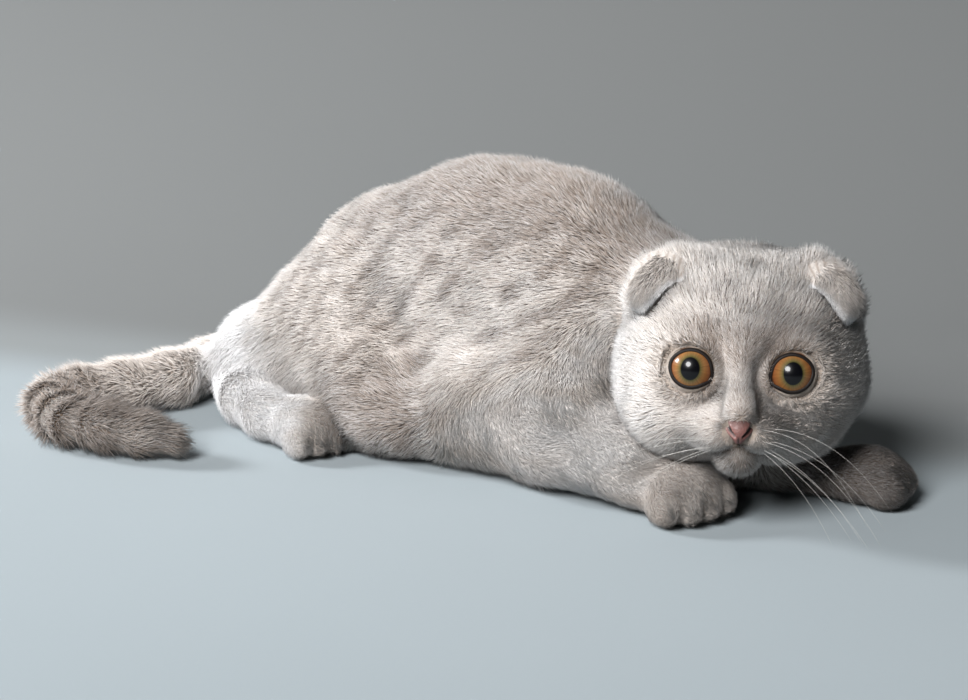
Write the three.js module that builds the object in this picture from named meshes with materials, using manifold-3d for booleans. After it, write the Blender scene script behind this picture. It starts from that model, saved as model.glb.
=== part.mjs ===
// A life-size Scottish fold cat, crouched low with its head turned to its right and its tail curled
// forwards round the right haunch. Millimetres, +Z up, the floor at Z = 0 and the origin on the floor
// under the middle of the torso. +X runs forwards along the spine and +Y is the cat's left.
//
// The whole body is one smooth field: egg-shaped masses and tapered limbs melted into each other, with
// the short coat included. The head is parted from it along its own shape and the other sub-parts along
// flat walls, with a thin parting gap between neighbours.
import * as THREE from "three";
import { mergeVertices } from "three/addons/utils/BufferGeometryUtils.js";
import Module from "manifold-3d";

const PARTING_GAP = 0.3;
const SHORTEST_EDGE = 0.06;
const SLOPE_STEP = 1e-3;
const FLOOR_DEPTH = 60;
const BODY_REACH = { low: [-140, -175, -18], high: [262, 112, 136] };
const HEAD_REACH = 70;

// The head: where its middle is, where it looks and how it is tilted, in degrees.
const HEAD = {
  centre: [182, -27, 63],
  yaw: -59.7,
  pitch: 4,
  roll: -1.4,
};

// The face, in the head's own frame: forwards, to the cat's left, up.
const EYE = {
  centre: [24, 18.6, -3],
  radius: 10.2,
  opening: 7.3,
  gazeUp: 12,
  gazeOut: 5,
  lid: 1.4,
  way: { inner: 7.2, outer: 10.7, from: 4, length: 24 },
};
const NOSE = { centre: [46, 0, -21], radii: [5.4, 5.8, 5.4], foot: 0.42 };
const NOSTRIL = { inner: [50.6, 2.1, -22], outer: [45.4, 7.4, -19], radius: 1.1, tip: 0.77 };
const MOUTH_RADIUS = 0.8;
const PHILTRUM = [[50, 0, -25], [48, 0, -29.3]];
const LIP = [[48, 0, -29.3], [47, 4, -31.2], [43, 8.5, -32.2], [36, 13, -32]];

// Each ear is a flap that rises from its root, turns over at the crest and hangs forwards to a free edge.
const EAR = {
  root: [[0, 14, 31], [-12, 24, 31.5], [-20, 38, 24], [-8, 45, 10]],
  crest: [[1, 16, 34.5], [-1, 27, 39.2], [-3, 39.5, 35], [-2, 47.5, 22.5]],
  edge: [[12, 24.5, 29], [14.5, 30, 27.2], [16, 39, 17.5], [5, 44.5, 14]],
  wall: 2.8,
  across: 9,
  over: 6,
};

// Each sub-part's space is a box with its middle, size and turn. Where two overlap, the first has it.
const spaces = {
  front_right_paw: { centre: [175, -58.5, 18], size: [44, 50, 60], yaw: -26 },
  front_left_paw: { centre: [226, 6, 18], size: [46, 50, 60], yaw: 12 },
  hind_right_paw: { centre: [4, -76, 12], size: [44, 42, 31], yaw: -18 },
  hind_left_paw: { centre: [4, 72, 12], size: [44, 42, 31], yaw: 14 },
  front_right_forearm: { centre: [112, -53, 18], size: [112, 52, 48], yaw: -8 },
  front_left_forearm: { centre: [157, 6, 16], size: [112, 52, 44], yaw: -14 },
  hind_right_foot: { centre: [-42, -58, 13], size: [66, 44, 34], yaw: -38 },
  hind_left_foot: { centre: [-42, 57, 13], size: [66, 44, 34], yaw: 36 },
  front_right_upper_arm: { centre: [94, -54, 52], size: [92, 64, 52], pitch: 38 },
  front_left_upper_arm: { centre: [122, 52, 48], size: [76, 62, 54], pitch: 38 },
  hind_right_thigh: { centre: [-18, -54, 32], size: [108, 72, 56], pitch: -10 },
  hind_left_thigh: { centre: [-18, 54, 32], size: [108, 72, 56], pitch: -10 },
  tail_tip: { centre: [-42, -126, 20], size: [62, 60, 60] },
  tail_bend: { centre: [-98, -122, 20], size: [60, 68, 60] },
  tail_base: { centre: [-94, -56, 20], size: [62, 68, 60] },
  neck: { centre: [150, 0, 60], size: [86, 150, 160] },
};

// The space of the head is its own shape, looser behind, and cut off square at the nape.
const NAPE = -26;
const HEAD_SPACE = { loose: 1.5, looseBehind: 6, behind: 20 };

const BODY_CELL = 12;
const FACE_CELL = 5.1;
const NAPE_CELL = 9;
const PAW_CELL = 8;
const TAIL_CELL = 8;
const TAIL_REACH = 25;
const EYE_ROUNDS = 14;
const GROOVE_SIDES = 5;
const NOSTRIL_SIDES = 6;
const TOE_ROUNDS = 8;

// Frames

const radians = (degrees) => (degrees * Math.PI) / 180;

function headMatrix() {
  const turn = new THREE.Euler(radians(HEAD.roll), radians(-HEAD.pitch), radians(HEAD.yaw), "ZYX");
  const matrix = new THREE.Matrix4().makeRotationFromEuler(turn);
  return matrix.setPosition(...HEAD.centre);
}

const headToBody = headMatrix();
const bodyToHead = headToBody.clone().invert();

function inHead([x, y, z]) {
  const e = bodyToHead.elements;
  return [
    e[0] * x + e[4] * y + e[8] * z + e[12],
    e[1] * x + e[5] * y + e[9] * z + e[13],
    e[2] * x + e[6] * y + e[10] * z + e[14],
  ];
}

// Fields: the signed distance from a point to a shape, negative inside

function ellipsoid(centre, radii, yaw = 0, pitch = 0) {
  const [cosYaw, sinYaw] = [Math.cos(radians(yaw)), Math.sin(radians(yaw))];
  const [cosPitch, sinPitch] = [Math.cos(radians(pitch)), Math.sin(radians(pitch))];
  return ([px, py, pz]) => {
    const [dx, dy, dz] = [px - centre[0], py - centre[1], pz - centre[2]];
    const along = cosYaw * dx + sinYaw * dy;
    const x = cosPitch * along + sinPitch * dz;
    const y = -sinYaw * dx + cosYaw * dy;
    const z = -sinPitch * along + cosPitch * dz;
    const near = Math.hypot(x / radii[0], y / radii[1], z / radii[2]);
    const steep = Math.hypot(x / radii[0] ** 2, y / radii[1] ** 2, z / radii[2] ** 2);
    return steep < 1e-9 ? -Math.min(...radii) : (near * (near - 1)) / steep;
  };
}

// A tapered limb with round ends, from [x, y, z, radius] to [x, y, z, radius].
function taper(a, b) {
  const axis = [b[0] - a[0], b[1] - a[1], b[2] - a[2]];
  const length2 = axis[0] ** 2 + axis[1] ** 2 + axis[2] ** 2;
  return (p) => {
    const d = [p[0] - a[0], p[1] - a[1], p[2] - a[2]];
    const t = THREE.MathUtils.clamp((d[0] * axis[0] + d[1] * axis[1] + d[2] * axis[2]) / length2, 0, 1);
    const away = Math.hypot(d[0] - t * axis[0], d[1] - t * axis[1], d[2] - t * axis[2]);
    return away - (a[3] + t * (b[3] - a[3]));
  };
}

function melt(a, b, blend) {
  const h = Math.max(blend - Math.abs(a - b), 0) / blend;
  return Math.min(a, b) - (h * h * blend) / 4;
}

const melted = (blend, ...shapes) => (p) => shapes.map((s) => s(p)).reduce((a, b) => melt(a, b, blend));

const limb = (blend, ...stations) =>
  melted(blend, ...stations.slice(1).map((station, i) => taper(stations[i], station)));

// The masses of the body

const LEFT = 1;
const RIGHT = -1;
const both = (make) => [make(LEFT), make(RIGHT)];

const torsoField = melted(
  22,
  ellipsoid([-40, 2, 28], [34, 36, 28]),
  ellipsoid([-5, 0, 48], [42, 40, 47]),
  ellipsoid([49, -1, 62], [60, 46, 55.5]),
  ellipsoid([86, -3, 62], [36, 38, 51]),
  ellipsoid([6, 0, 20], [78, 42, 24]),
  ellipsoid([36, -50, 16], [36, 29.5, 20]),
  ellipsoid([36, 42, 16], [32, 28, 20]),
  ...both((side) => ellipsoid([-12, side * 27, 41], [32, 26, 30])),
);

const neckField = taper([104, -2, 64, 37], [160, -6, 61, 31]);
const chestField = ellipsoid([168, -19, 22], [23, 17, 22]);

// Each leg is a chain of [x, y, z, radius] stations from the root to the toes.
const legs = {
  front_right: {
    upper: [[112, -27, 57, 28], [108, -42, 40, 25], [76, -45, 27, 24]],
    lower: [[72, -48, 21, 21.5], [112, -52, 24, 24.5], [150, -55, 18, 18]],
    paw: { wrist: [155, -56, 13, 13], centre: [171, -54.5, 12.5], yaw: -26, size: 1 },
  },
  front_left: {
    upper: [[128, 20, 56, 26], [112, 32, 27, 21]],
    lower: [[112, 24, 19, 19], [156, -3, 14.5, 15], [190, -8, 10.5, 11]],
    paw: { wrist: [202, -4, 9.5, 10], centre: [224, 3.5, 10.4], yaw: 20, size: 0.89 },
  },
  hind_right: {
    upper: [[-54, -34, 25, 18.5], [-28, -34, 29, 25], [14, -48, 24, 23]],
    lower: [[-58, -42, 16, 16], [-38, -64, 12, 12.5], [-20, -74, 11, 11.5]],
    paw: { wrist: [-16, -75, 10.5, 11], centre: [5, -75, 10.5], yaw: -22, size: 0.86 },
  },
  hind_left: {
    upper: [[-54, 34, 25, 18.5], [-28, 34, 29, 25], [14, 48, 24, 23]],
    lower: [[-58, 42, 16, 16], [-38, 64, 12, 12.5], [-20, 72, 11, 11.5]],
    paw: { wrist: [-16, 73, 10.5, 11], centre: [5, 73, 10.5], yaw: 16, size: 0.86 },
  },
};

const PAW_RADII = [19, 17.5, 13];
const TOE_RADII = [10.5, 6.6, 8.8];
const TOE = { reach: 11.5, back: 1.6, spread: 8.4, sink: 0.3 };

const sized = (radii, size) => radii.map((radius) => radius * size);

// A paw is a round pad with four toes fanned across its front.
function toesOf({ centre, yaw, size }) {
  const forward = [Math.cos(radians(yaw)), Math.sin(radians(yaw))];
  return [-1.5, -0.5, 0.5, 1.5].map((place) => {
    const reach = (TOE.reach - TOE.back * Math.abs(place) ** 1.6) * size;
    const side = place * TOE.spread * size;
    const radii = sized(TOE_RADII, size);
    return {
      centre: [
        centre[0] + forward[0] * reach - forward[1] * side,
        centre[1] + forward[1] * reach + forward[0] * side,
        radii[2] - TOE.sink,
      ],
      radii,
      yaw,
    };
  });
}

const pawField = ({ wrist, centre, yaw, size }) =>
  melted(8, ellipsoid(centre, sized(PAW_RADII, size), yaw), taper(wrist, [...centre, wrist[3] - 1]));

for (const leg of Object.values(legs)) {
  leg.upperField = limb(8, ...leg.upper);
  leg.lowerField = limb(6, ...leg.lower);
  leg.pawShape = pawField(leg.paw);
}

const tailStations = [
  [-70, 0, 15, 16],
  [-81, -34, 12.5, 12.5],
  [-80, -62, 13, 13.5],
  [-87, -86, 13.5, 13.8],
  [-95, -106, 13.5, 14],
  [-95, -121, 13.5, 13.8],
  [-83, -129, 12.5, 13],
  [-62, -126.5, 12, 12.5],
  [-46, -122.5, 10.8, 11.2],
  [-34, -118, 9, 9.3],
];
const tailField = limb(5, ...tailStations);

// The head, in its own frame: forwards, to the cat's left, up.
const EAR_BASE = [[-1, 14, 29], [-3, 26, 32], [-5, 36, 27], [-4, 41, 18]];
const EAR_BASE_RADIUS = 5.5;
const earBase = (side) => limb(6, ...EAR_BASE.map(([f, l, u]) => [f, side * l, u, EAR_BASE_RADIUS]));

const faceMasses = melted(
  12,
  ellipsoid([-10, 0, 5], [44, 47, 35.5]),
  ...both((side) => ellipsoid([0, side * 24, -11], [32, 27, 25])),
  ellipsoid([10, 0, -8], [25, 33, 27]),
  ...both((side) => ellipsoid([13, side * 17 - 3, -25], [23, 24, 17])),
  ...both(earBase),
);
const muzzleMasses = melted(
  5,
  ...both((side) => ellipsoid([37, side * 8.5, -24], [12, 11, 8.5])),
  taper([26, 0, 6, 10], [43.5, 0, -15, 6.8]),
  ellipsoid([33.5, 0, -34], [11, 10, 8.6]),
);
const eyeSockets = both((side) => ellipsoid([37.5, side * 19.5, -1.5], [7.5, 14, 12.5]));
const headShape = (p) => {
  const face = melt(faceMasses(p), muzzleMasses(p), 8);
  return eyeSockets.reduce((f, socket) => -melt(-f, socket(p), 7), face);
};
const headField = (p) => headShape(inHead(p));

// The head melts softly into the neck above and behind, and keeps a crease under the chin.
const NECK_BLEND = { least: 3, most: 12, from: 5, over: 24 };
function headBlend(p) {
  const [forward, , up] = inHead(p);
  const behind = THREE.MathUtils.clamp((up - forward - NECK_BLEND.from) / NECK_BLEND.over, 0, 1);
  return THREE.MathUtils.lerp(NECK_BLEND.least, NECK_BLEND.most, behind);
}

const spineField = melted(26, torsoField, neckField);
const coreField = melted(12, spineField, chestField);
function trunkField(p) {
  let f = coreField(p);
  for (const leg of Object.values(legs)) {
    f = melt(f, leg.upperField(p), 16);
    f = melt(f, leg.lowerField(p), 14);
    f = melt(f, leg.pawShape(p), 5);
  }
  return melt(f, tailField(p), 9);
}
const skullField = (p) => melt(coreField(p), headField(p), headBlend(p));

// Solids from fields

const wasm = await Module();
wasm.setup();

function gradient(field, p) {
  const step = 0.05;
  const slope = [0, 1, 2].map((axis) => {
    const [a, b] = [[...p], [...p]];
    a[axis] -= step;
    b[axis] += step;
    return (field(b) - field(a)) / (2 * step);
  });
  const length = Math.hypot(...slope) || 1;
  return { slope: slope.map((s) => s / length), length };
}

// The surface where a field is zero, as a net with one corner in each crossed cell. The corners are then
// drawn onto the surface itself.
function surfaceNet(field, low, high, cell) {
  const size = low.map((l, axis) => Math.ceil((high[axis] - l) / cell) + 1);
  const stride = [1, size[0], size[0] * size[1]];
  const at = (i, j, k) => i + j * stride[1] + k * stride[2];
  const value = new Float64Array(size[0] * size[1] * size[2]);
  for (let k = 0; k < size[2]; k++)
    for (let j = 0; j < size[1]; j++)
      for (let i = 0; i < size[0]; i++) {
        const edge = [i, j, k].some((n, axis) => n === 0 || n === size[axis] - 1);
        const p = [low[0] + i * cell, low[1] + j * cell, low[2] + k * cell];
        value[at(i, j, k)] = edge ? cell : field(p);
      }
  const corners = [];
  const cornerOf = new Map();
  const cornerSteps = [0, 1, 2, 3, 4, 5, 6, 7].map((n) => [n & 1, (n >> 1) & 1, (n >> 2) & 1]);
  for (let k = 0; k < size[2] - 1; k++)
    for (let j = 0; j < size[1] - 1; j++)
      for (let i = 0; i < size[0] - 1; i++) {
        const here = cornerSteps.map(([a, b, c]) => value[at(i + a, j + b, k + c)]);
        const inside = here.filter((v) => v < 0).length;
        if (inside === 0 || inside === 8) continue;
        const sum = [0, 0, 0];
        let crossings = 0;
        for (let n = 0; n < 8; n++)
          for (const bit of [1, 2, 4]) {
            const m = n ^ bit;
            if (m < n || here[n] < 0 === here[m] < 0) continue;
            const t = here[n] / (here[n] - here[m]);
            for (let axis = 0; axis < 3; axis++)
              sum[axis] += cornerSteps[n][axis] + t * (cornerSteps[m][axis] - cornerSteps[n][axis]);
            crossings++;
          }
        cornerOf.set(at(i, j, k), corners.length);
        corners.push([i, j, k].map((n, axis) => low[axis] + cell * (n + sum[axis] / crossings)));
      }
  const faces = [];
  for (let k = 0; k < size[2] - 1; k++)
    for (let j = 0; j < size[1] - 1; j++)
      for (let i = 0; i < size[0] - 1; i++)
        for (let axis = 0; axis < 3; axis++) {
          const n = at(i, j, k);
          const solidHere = value[n] < 0;
          if (solidHere === value[n + stride[axis]] < 0) continue;
          const [u, v] = [stride[(axis + 1) % 3], stride[(axis + 2) % 3]];
          const ring = [n - u - v, n - v, n, n - u].map((c) => cornerOf.get(c));
          if (!solidHere) ring.reverse();
          const span = (a, b) => Math.hypot(...corners[a].map((c, x) => c - corners[b][x]));
          if (span(ring[0], ring[2]) < span(ring[1], ring[3]))
            faces.push([ring[0], ring[1], ring[2]], [ring[0], ring[2], ring[3]]);
          else faces.push([ring[0], ring[1], ring[3]], [ring[1], ring[2], ring[3]]);
        }
  for (const corner of corners)
    for (let round = 0; round < 3; round++) {
      const { slope, length } = gradient(field, corner);
      const move = THREE.MathUtils.clamp(field(corner) / Math.max(length, 0.5), -cell / 3, cell / 3);
      for (let axis = 0; axis < 3; axis++) corner[axis] -= move * slope[axis];
    }
  return { corners, faces };
}

function solidOf({ corners, faces }) {
  const mesh = new wasm.Mesh({
    numProp: 3,
    vertProperties: new Float32Array(corners.flat()),
    triVerts: new Uint32Array(faces.flat()),
  });
  return new wasm.Manifold(mesh);
}

// The same net moved outwards, square to the surface.
function grown({ corners, faces }, field, distance) {
  const moved = corners.map((corner) => {
    const { slope } = gradient(field, corner);
    return corner.map((c, axis) => c + distance * slope[axis]);
  });
  return { corners: moved, faces };
}

function solidOfGeometry(geometry) {
  const bare = new THREE.BufferGeometry().setAttribute("position", geometry.getAttribute("position"));
  bare.setIndex(geometry.index);
  const merged = mergeVertices(bare, 1e-4);
  const index = merged.index.array;
  const faces = [];
  for (let i = 0; i < index.length; i += 3) {
    const [a, b, c] = index.slice(i, i + 3);
    if (a !== b && b !== c && c !== a) faces.push(a, b, c);
  }
  return new wasm.Manifold(
    new wasm.Mesh({
      numProp: 3,
      vertProperties: new Float32Array(merged.attributes.position.array),
      triVerts: new Uint32Array(faces),
    }),
  );
}

// A tapered pod of few flat sides, with blunt ends, round the line between two [x, y, z, radius] stations.
function pod(a, b, sides) {
  const [from, to] = [new THREE.Vector3(...a), new THREE.Vector3(...b)];
  const length = from.distanceTo(to);
  const [low, high] = [a[3], b[3]];
  const profile = [
    [0, -low],
    [0.7 * low, -0.7 * low],
    [low, 0],
    [high, length],
    [0.7 * high, length + 0.7 * high],
    [0, length + high],
  ];
  const geometry = new THREE.LatheGeometry(profile.map((point) => new THREE.Vector2(...point)), sides);
  const turn = new THREE.Quaternion().setFromUnitVectors(THREE.Object3D.DEFAULT_UP, to.sub(from).normalize());
  return solidOfGeometry(geometry.applyQuaternion(turn).translate(...from));
}

const chain = (stations, sides) =>
  wasm.Manifold.union(stations.slice(1).map((station, i) => pod(stations[i], station, sides)));

const largest = (solid) => solid.decompose().reduce((a, b) => (b.volume() > a.volume() ? b : a));

const cross = (a, b) => [a[1] * b[2] - a[2] * b[1], a[2] * b[0] - a[0] * b[2], a[0] * b[1] - a[1] * b[0]];
const minus = (a, b) => a.map((value, axis) => value - b[axis]);
const dot = (a, b) => a[0] * b[0] + a[1] * b[1] + a[2] * b[2];
const facingOf = (a, b, c) => cross(minus(b, a), minus(c, a));

// Draws the two ends of each very short edge together, where the surface stays closed and unfolded.
function withoutShortEdges(corners, faces) {
  let kept = faces;
  for (let changed = true; changed; ) {
    changed = false;
    const around = corners.map(() => new Set());
    kept.forEach((face, n) => face.forEach((corner) => around[corner].add(n)));
    const neighbours = (corner) => new Set([...around[corner]].flatMap((n) => kept[n]));
    const touched = new Set();
    for (const face of kept)
      for (let side = 0; side < 3; side++) {
        const [a, b] = [face[side], face[(side + 1) % 3]];
        if (touched.has(a) || touched.has(b)) continue;
        if (Math.hypot(...minus(corners[a], corners[b])) > SHORTEST_EDGE) continue;
        const [ringA, ringB] = [neighbours(a), neighbours(b)];
        const shared = [...ringA].filter((corner) => ringB.has(corner)).length;
        const folds = [...around[b]].some((n) => {
          if (kept[n].includes(a)) return false;
          const before = kept[n].map((corner) => corners[corner]);
          const after = kept[n].map((corner) => corners[corner === b ? a : corner]);
          return dot(facingOf(...before), facingOf(...after)) <= 0;
        });
        if (shared !== 4 || folds) continue;
        for (const n of around[b]) kept[n] = kept[n].map((corner) => (corner === b ? a : corner));
        for (const corner of [...ringA, ...ringB]) touched.add(corner);
        changed = true;
      }
    kept = kept.filter(([a, b, c]) => a !== b && b !== c && c !== a);
  }
  return kept;
}

function geometryOf(solid) {
  const mesh = solid.getMesh();
  const corners = [];
  for (let i = 0; i < mesh.numVert; i++)
    corners.push([...mesh.vertProperties.subarray(i * mesh.numProp, i * mesh.numProp + 3)]);
  const faces = [];
  for (let i = 0; i < mesh.triVerts.length; i += 3) faces.push([...mesh.triVerts.subarray(i, i + 3)]);
  const kept = withoutShortEdges(corners, faces);
  const used = [...new Set(kept.flat())];
  const place = new Map(used.map((corner, n) => [corner, n]));
  const geometry = new THREE.BufferGeometry();
  const position = new Float32Array(used.flatMap((corner) => corners[corner]));
  geometry.setAttribute("position", new THREE.BufferAttribute(position, 3));
  geometry.setIndex(kept.flat().map((corner) => place.get(corner)));
  geometry.computeVertexNormals();
  return geometry;
}

const underFloor = solidOfGeometry(
  new THREE.BoxGeometry(900, 900, FLOOR_DEPTH).translate(0, 0, -FLOOR_DEPTH / 2),
);
const boxAround = (points, reach) => [
  [0, 1, 2].map((axis) => Math.min(...points.map((p) => p[axis])) - reach),
  [0, 1, 2].map((axis) => Math.max(...points.map((p) => p[axis])) + reach),
];

// The sub-parts: each takes its own space out of the body, and the later ones keep the gap from it.

const solids = {};
const taken = [];
function take(name, body, space, widened) {
  let solid = body.intersect(space);
  for (const before of taken) solid = solid.subtract(before);
  solids[name] = largest(solid);
  taken.push(widened);
}
function boxSpace({ centre, size, yaw = 0, pitch = 0 }, extra) {
  const box = new THREE.BoxGeometry(...size.map((s) => s + 2 * extra));
  return solidOfGeometry(box.rotateY(-radians(pitch)).rotateZ(radians(yaw)).translate(...centre));
}

const trunkNet = surfaceNet(trunkField, BODY_REACH.low, BODY_REACH.high, BODY_CELL);
const trunk = solidOf(trunkNet).subtract(underFloor);

const placeInHead = (geometry) => solidOfGeometry(geometry.applyMatrix4(headToBody));
const facing = [...new THREE.Vector3().setFromMatrixColumn(headToBody, 0)];
const facingAt = (forward) => new THREE.Vector3(...facing).dot(new THREE.Vector3(...HEAD.centre)) + forward;
const ahead = (solid, forward) => solid.trimByPlane(facing, facingAt(forward));
const astern = (solid, forward) => solid.trimByPlane(facing.map((c) => -c), -facingAt(forward));

// The skull is finer over the face than over the nape.
const headLow = HEAD.centre.map((c) => c - HEAD_REACH);
const headHigh = HEAD.centre.map((c) => c + HEAD_REACH);
const faceNet = surfaceNet(skullField, headLow, headHigh, FACE_CELL);
const napeNet = surfaceNet(skullField, headLow, headHigh, NAPE_CELL);
const skullOf = (shaped) =>
  ahead(solidOf(shaped(faceNet)), -1).add(astern(solidOf(shaped(napeNet)), 0)).subtract(underFloor);
const skull = skullOf((net) => net);
const skullWidened = skullOf((net) => grown(net, skullField, PARTING_GAP));

function headSpaceField(p) {
  const behind = THREE.MathUtils.clamp(-inHead(p)[0] / HEAD_SPACE.behind, 0, 1);
  return headField(p) - HEAD_SPACE.loose - behind * HEAD_SPACE.looseBehind;
}
const headSpaceNet = surfaceNet(headSpaceField, headLow, headHigh, NAPE_CELL);
const headSpace = ahead(solidOf(headSpaceNet), NAPE);
const headSpaceWidened = ahead(solidOf(grown(headSpaceNet, headSpaceField, PARTING_GAP)), NAPE - PARTING_GAP);

function eyeball(side, extra) {
  const [f, l, u] = EYE.centre;
  const ball = new THREE.SphereGeometry(EYE.radius + extra, EYE_ROUNDS, EYE_ROUNDS / 2 + 1);
  return placeInHead(ball.translate(f, side * l, u));
}

// Turns a shape made round the eye's own forward line to the gaze, and puts it in its socket.
function atGaze(geometry, side) {
  const [f, l, u] = EYE.centre;
  geometry.rotateY(-radians(EYE.gazeUp)).rotateZ(side * radians(EYE.gazeOut));
  return placeInHead(geometry.translate(f, side * l, u));
}

// The rim of the lids is a ring round the opening, square to the gaze.
function lids(side) {
  const forward = Math.sqrt(EYE.radius ** 2 - EYE.opening ** 2) + EYE.lid / 3;
  const ring = new THREE.TorusGeometry(EYE.opening, EYE.lid, 4, EYE_ROUNDS);
  return atGaze(ring.rotateY(Math.PI / 2).translate(forward, 0, 0), side);
}

// The clear way in front of the eyeball widens outwards from the opening.
function eyeOpening(side) {
  const { inner, outer, from, length } = EYE.way;
  const way = new THREE.CylinderGeometry(outer, inner, length, EYE_ROUNDS).rotateZ(-Math.PI / 2);
  return atGaze(way.translate(from + length / 2, 0, 0), side);
}

// The nose leather, wide at the top and narrow at its foot.
function nose(extra) {
  const shape = new THREE.SphereGeometry(1, 12, 8).rotateX(Math.PI / 2);
  const position = shape.getAttribute("position");
  for (let i = 0; i < position.count; i++) {
    const [f, l, u] = [position.getX(i), position.getY(i), position.getZ(i)];
    const width = NOSE.foot + (1 - NOSE.foot) * THREE.MathUtils.smoothstep(u, -1, 0.5);
    position.setXYZ(
      i,
      NOSE.centre[0] + f * (NOSE.radii[0] + extra),
      l * (NOSE.radii[1] * width + extra),
      NOSE.centre[2] + u * (NOSE.radii[2] + extra),
    );
  }
  return placeInHead(shape);
}

const inWorld = ([f, l, u], radius, side) =>
  [...new THREE.Vector3(f, side * l, u).applyMatrix4(headToBody), radius];

// Draws a station of the head onto the skin.
function onSkin(station) {
  const point = station.slice(0, 3);
  for (let round = 0; round < 4; round++) {
    const { slope } = gradient(skullField, point);
    const away = skullField(point);
    for (let axis = 0; axis < 3; axis++) point[axis] -= away * slope[axis];
  }
  return [...point, station[3]];
}
const groove = (points, side) =>
  chain(points.map((p) => onSkin(inWorld(p, MOUTH_RADIUS, side))), GROOVE_SIDES);
const nostril = (side) =>
  pod(inWorld(NOSTRIL.inner, NOSTRIL.radius, side), inWorld(NOSTRIL.outer, NOSTRIL.tip, side), NOSTRIL_SIDES);

// An ear is a bent sheet with a wall thickness, from the root over the crest to the free edge.
function ear(side) {
  const lines = [EAR.root, EAR.crest, EAR.edge].map(
    (points) => new THREE.CatmullRomCurve3(points.map(([f, l, u]) => new THREE.Vector3(f, side * l, u))),
  );
  const outer = (s, t) => {
    const [root, crest, edge] = lines.map((line) => line.getPoint(s));
    const bend = crest.multiplyScalar(2).addScaledVector(root, -0.5).addScaledVector(edge, -0.5);
    root.multiplyScalar((1 - t) ** 2);
    return root.addScaledVector(bend, 2 * t * (1 - t)).addScaledVector(edge, t * t);
  };
  const inner = (s, t) => {
    const across = outer(Math.min(s + SLOPE_STEP, 1), t).sub(outer(Math.max(s - SLOPE_STEP, 0), t));
    const over = outer(s, Math.min(t + SLOPE_STEP, 1)).sub(outer(s, Math.max(t - SLOPE_STEP, 0)));
    return outer(s, t).addScaledVector(across.cross(over).normalize(), side * EAR.wall);
  };
  const corners = [];
  for (const layer of [outer, inner])
    for (let i = 0; i <= EAR.across; i++)
      for (let j = 0; j <= EAR.over; j++) corners.push(layer(i / EAR.across, j / EAR.over));
  const at = (layer, i, j) => (layer * (EAR.across + 1) + i) * (EAR.over + 1) + j;
  const quads = [];
  for (let i = 0; i < EAR.across; i++)
    for (let j = 0; j < EAR.over; j++) {
      quads.push([at(0, i, j), at(0, i + 1, j), at(0, i + 1, j + 1), at(0, i, j + 1)]);
      quads.push([at(1, i, j), at(1, i, j + 1), at(1, i + 1, j + 1), at(1, i + 1, j)]);
    }
  for (let i = 0; i < EAR.across; i++) {
    quads.push([at(0, i + 1, 0), at(0, i, 0), at(1, i, 0), at(1, i + 1, 0)]);
    quads.push([at(0, i, EAR.over), at(0, i + 1, EAR.over), at(1, i + 1, EAR.over), at(1, i, EAR.over)]);
  }
  const last = EAR.across;
  for (let j = 0; j < EAR.over; j++) {
    quads.push([at(0, 0, j), at(0, 0, j + 1), at(1, 0, j + 1), at(1, 0, j)]);
    quads.push([at(0, last, j + 1), at(0, last, j), at(1, last, j), at(1, last, j + 1)]);
  }
  const faces = quads.flatMap(([a, b, c, d]) => [a, b, c, a, c, d]);
  if (side === LEFT) faces.reverse();
  const geometry = new THREE.BufferGeometry().setFromPoints(corners).setIndex(faces);
  return placeInHead(geometry);
}

let head = skull;
for (const side of [LEFT, RIGHT])
  head = head.add(lids(side)).subtract(eyeOpening(side)).subtract(eyeball(side, PARTING_GAP));
head = head.subtract(nose(PARTING_GAP)).subtract(groove(PHILTRUM, LEFT));
for (const side of [LEFT, RIGHT]) head = head.subtract(groove(LIP, side)).subtract(nostril(side));
take("head", head, headSpace, headSpaceWidened);

// An egg lying along X, turned in plan.
function egg({ centre, radii, yaw }) {
  const shape = new THREE.SphereGeometry(1, TOE_ROUNDS, (TOE_ROUNDS * 3) / 4).rotateZ(Math.PI / 2);
  return solidOfGeometry(shape.scale(...radii).rotateZ(radians(yaw)).translate(...centre));
}

function pawSolid(paw) {
  const [low, high] = boxAround([paw.centre, paw.wrist], 2 * PAW_RADII[0]);
  const pad = solidOf(surfaceNet(trunkField, low, high, PAW_CELL));
  return wasm.Manifold.union([pad, ...toesOf(paw).map(egg)]).subtract(underFloor);
}

// The thin end of the tail has a finer net than the trunk.
const [tailLow, tailHigh] = boxAround(tailStations.slice(3), TAIL_REACH);
const tailEnd = solidOf(surfaceNet(trunkField, tailLow, tailHigh, TAIL_CELL)).subtract(underFloor);
const finer = { tail_tip: tailEnd, tail_bend: tailEnd };
for (const [name, leg] of Object.entries(legs)) finer[name + "_paw"] = pawSolid(leg.paw);

for (const [name, space] of Object.entries(spaces))
  take(name, finer[name] ?? trunk, boxSpace(space, 0), boxSpace(space, PARTING_GAP));
take("torso", trunk, trunk, trunk);

solids.ear_left = largest(ear(LEFT).subtract(skullWidened));
solids.ear_right = largest(ear(RIGHT).subtract(skullWidened));
solids.eye_left = eyeball(LEFT, 0);
solids.eye_right = eyeball(RIGHT, 0);
solids.nose = nose(0).subtract(nostril(LEFT)).subtract(nostril(RIGHT));

// The group

const finishes = {
  coat: { color: 0xb3a79b, roughness: 0.9, metalness: 0 },
  eye: { color: 0xc07a2c, roughness: 0.1, metalness: 0 },
  nose: { color: 0x8f6663, roughness: 0.55, metalness: 0 },
};
const finishOf = (name) => finishes[name.split("_")[0]] ?? finishes.coat;
const model = new THREE.Group();
for (const [name, solid] of Object.entries(solids)) {
  const mesh = new THREE.Mesh(geometryOf(solid), new THREE.MeshStandardMaterial(finishOf(name)));
  mesh.name = name;
  model.add(mesh);
}

export default model;
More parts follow.
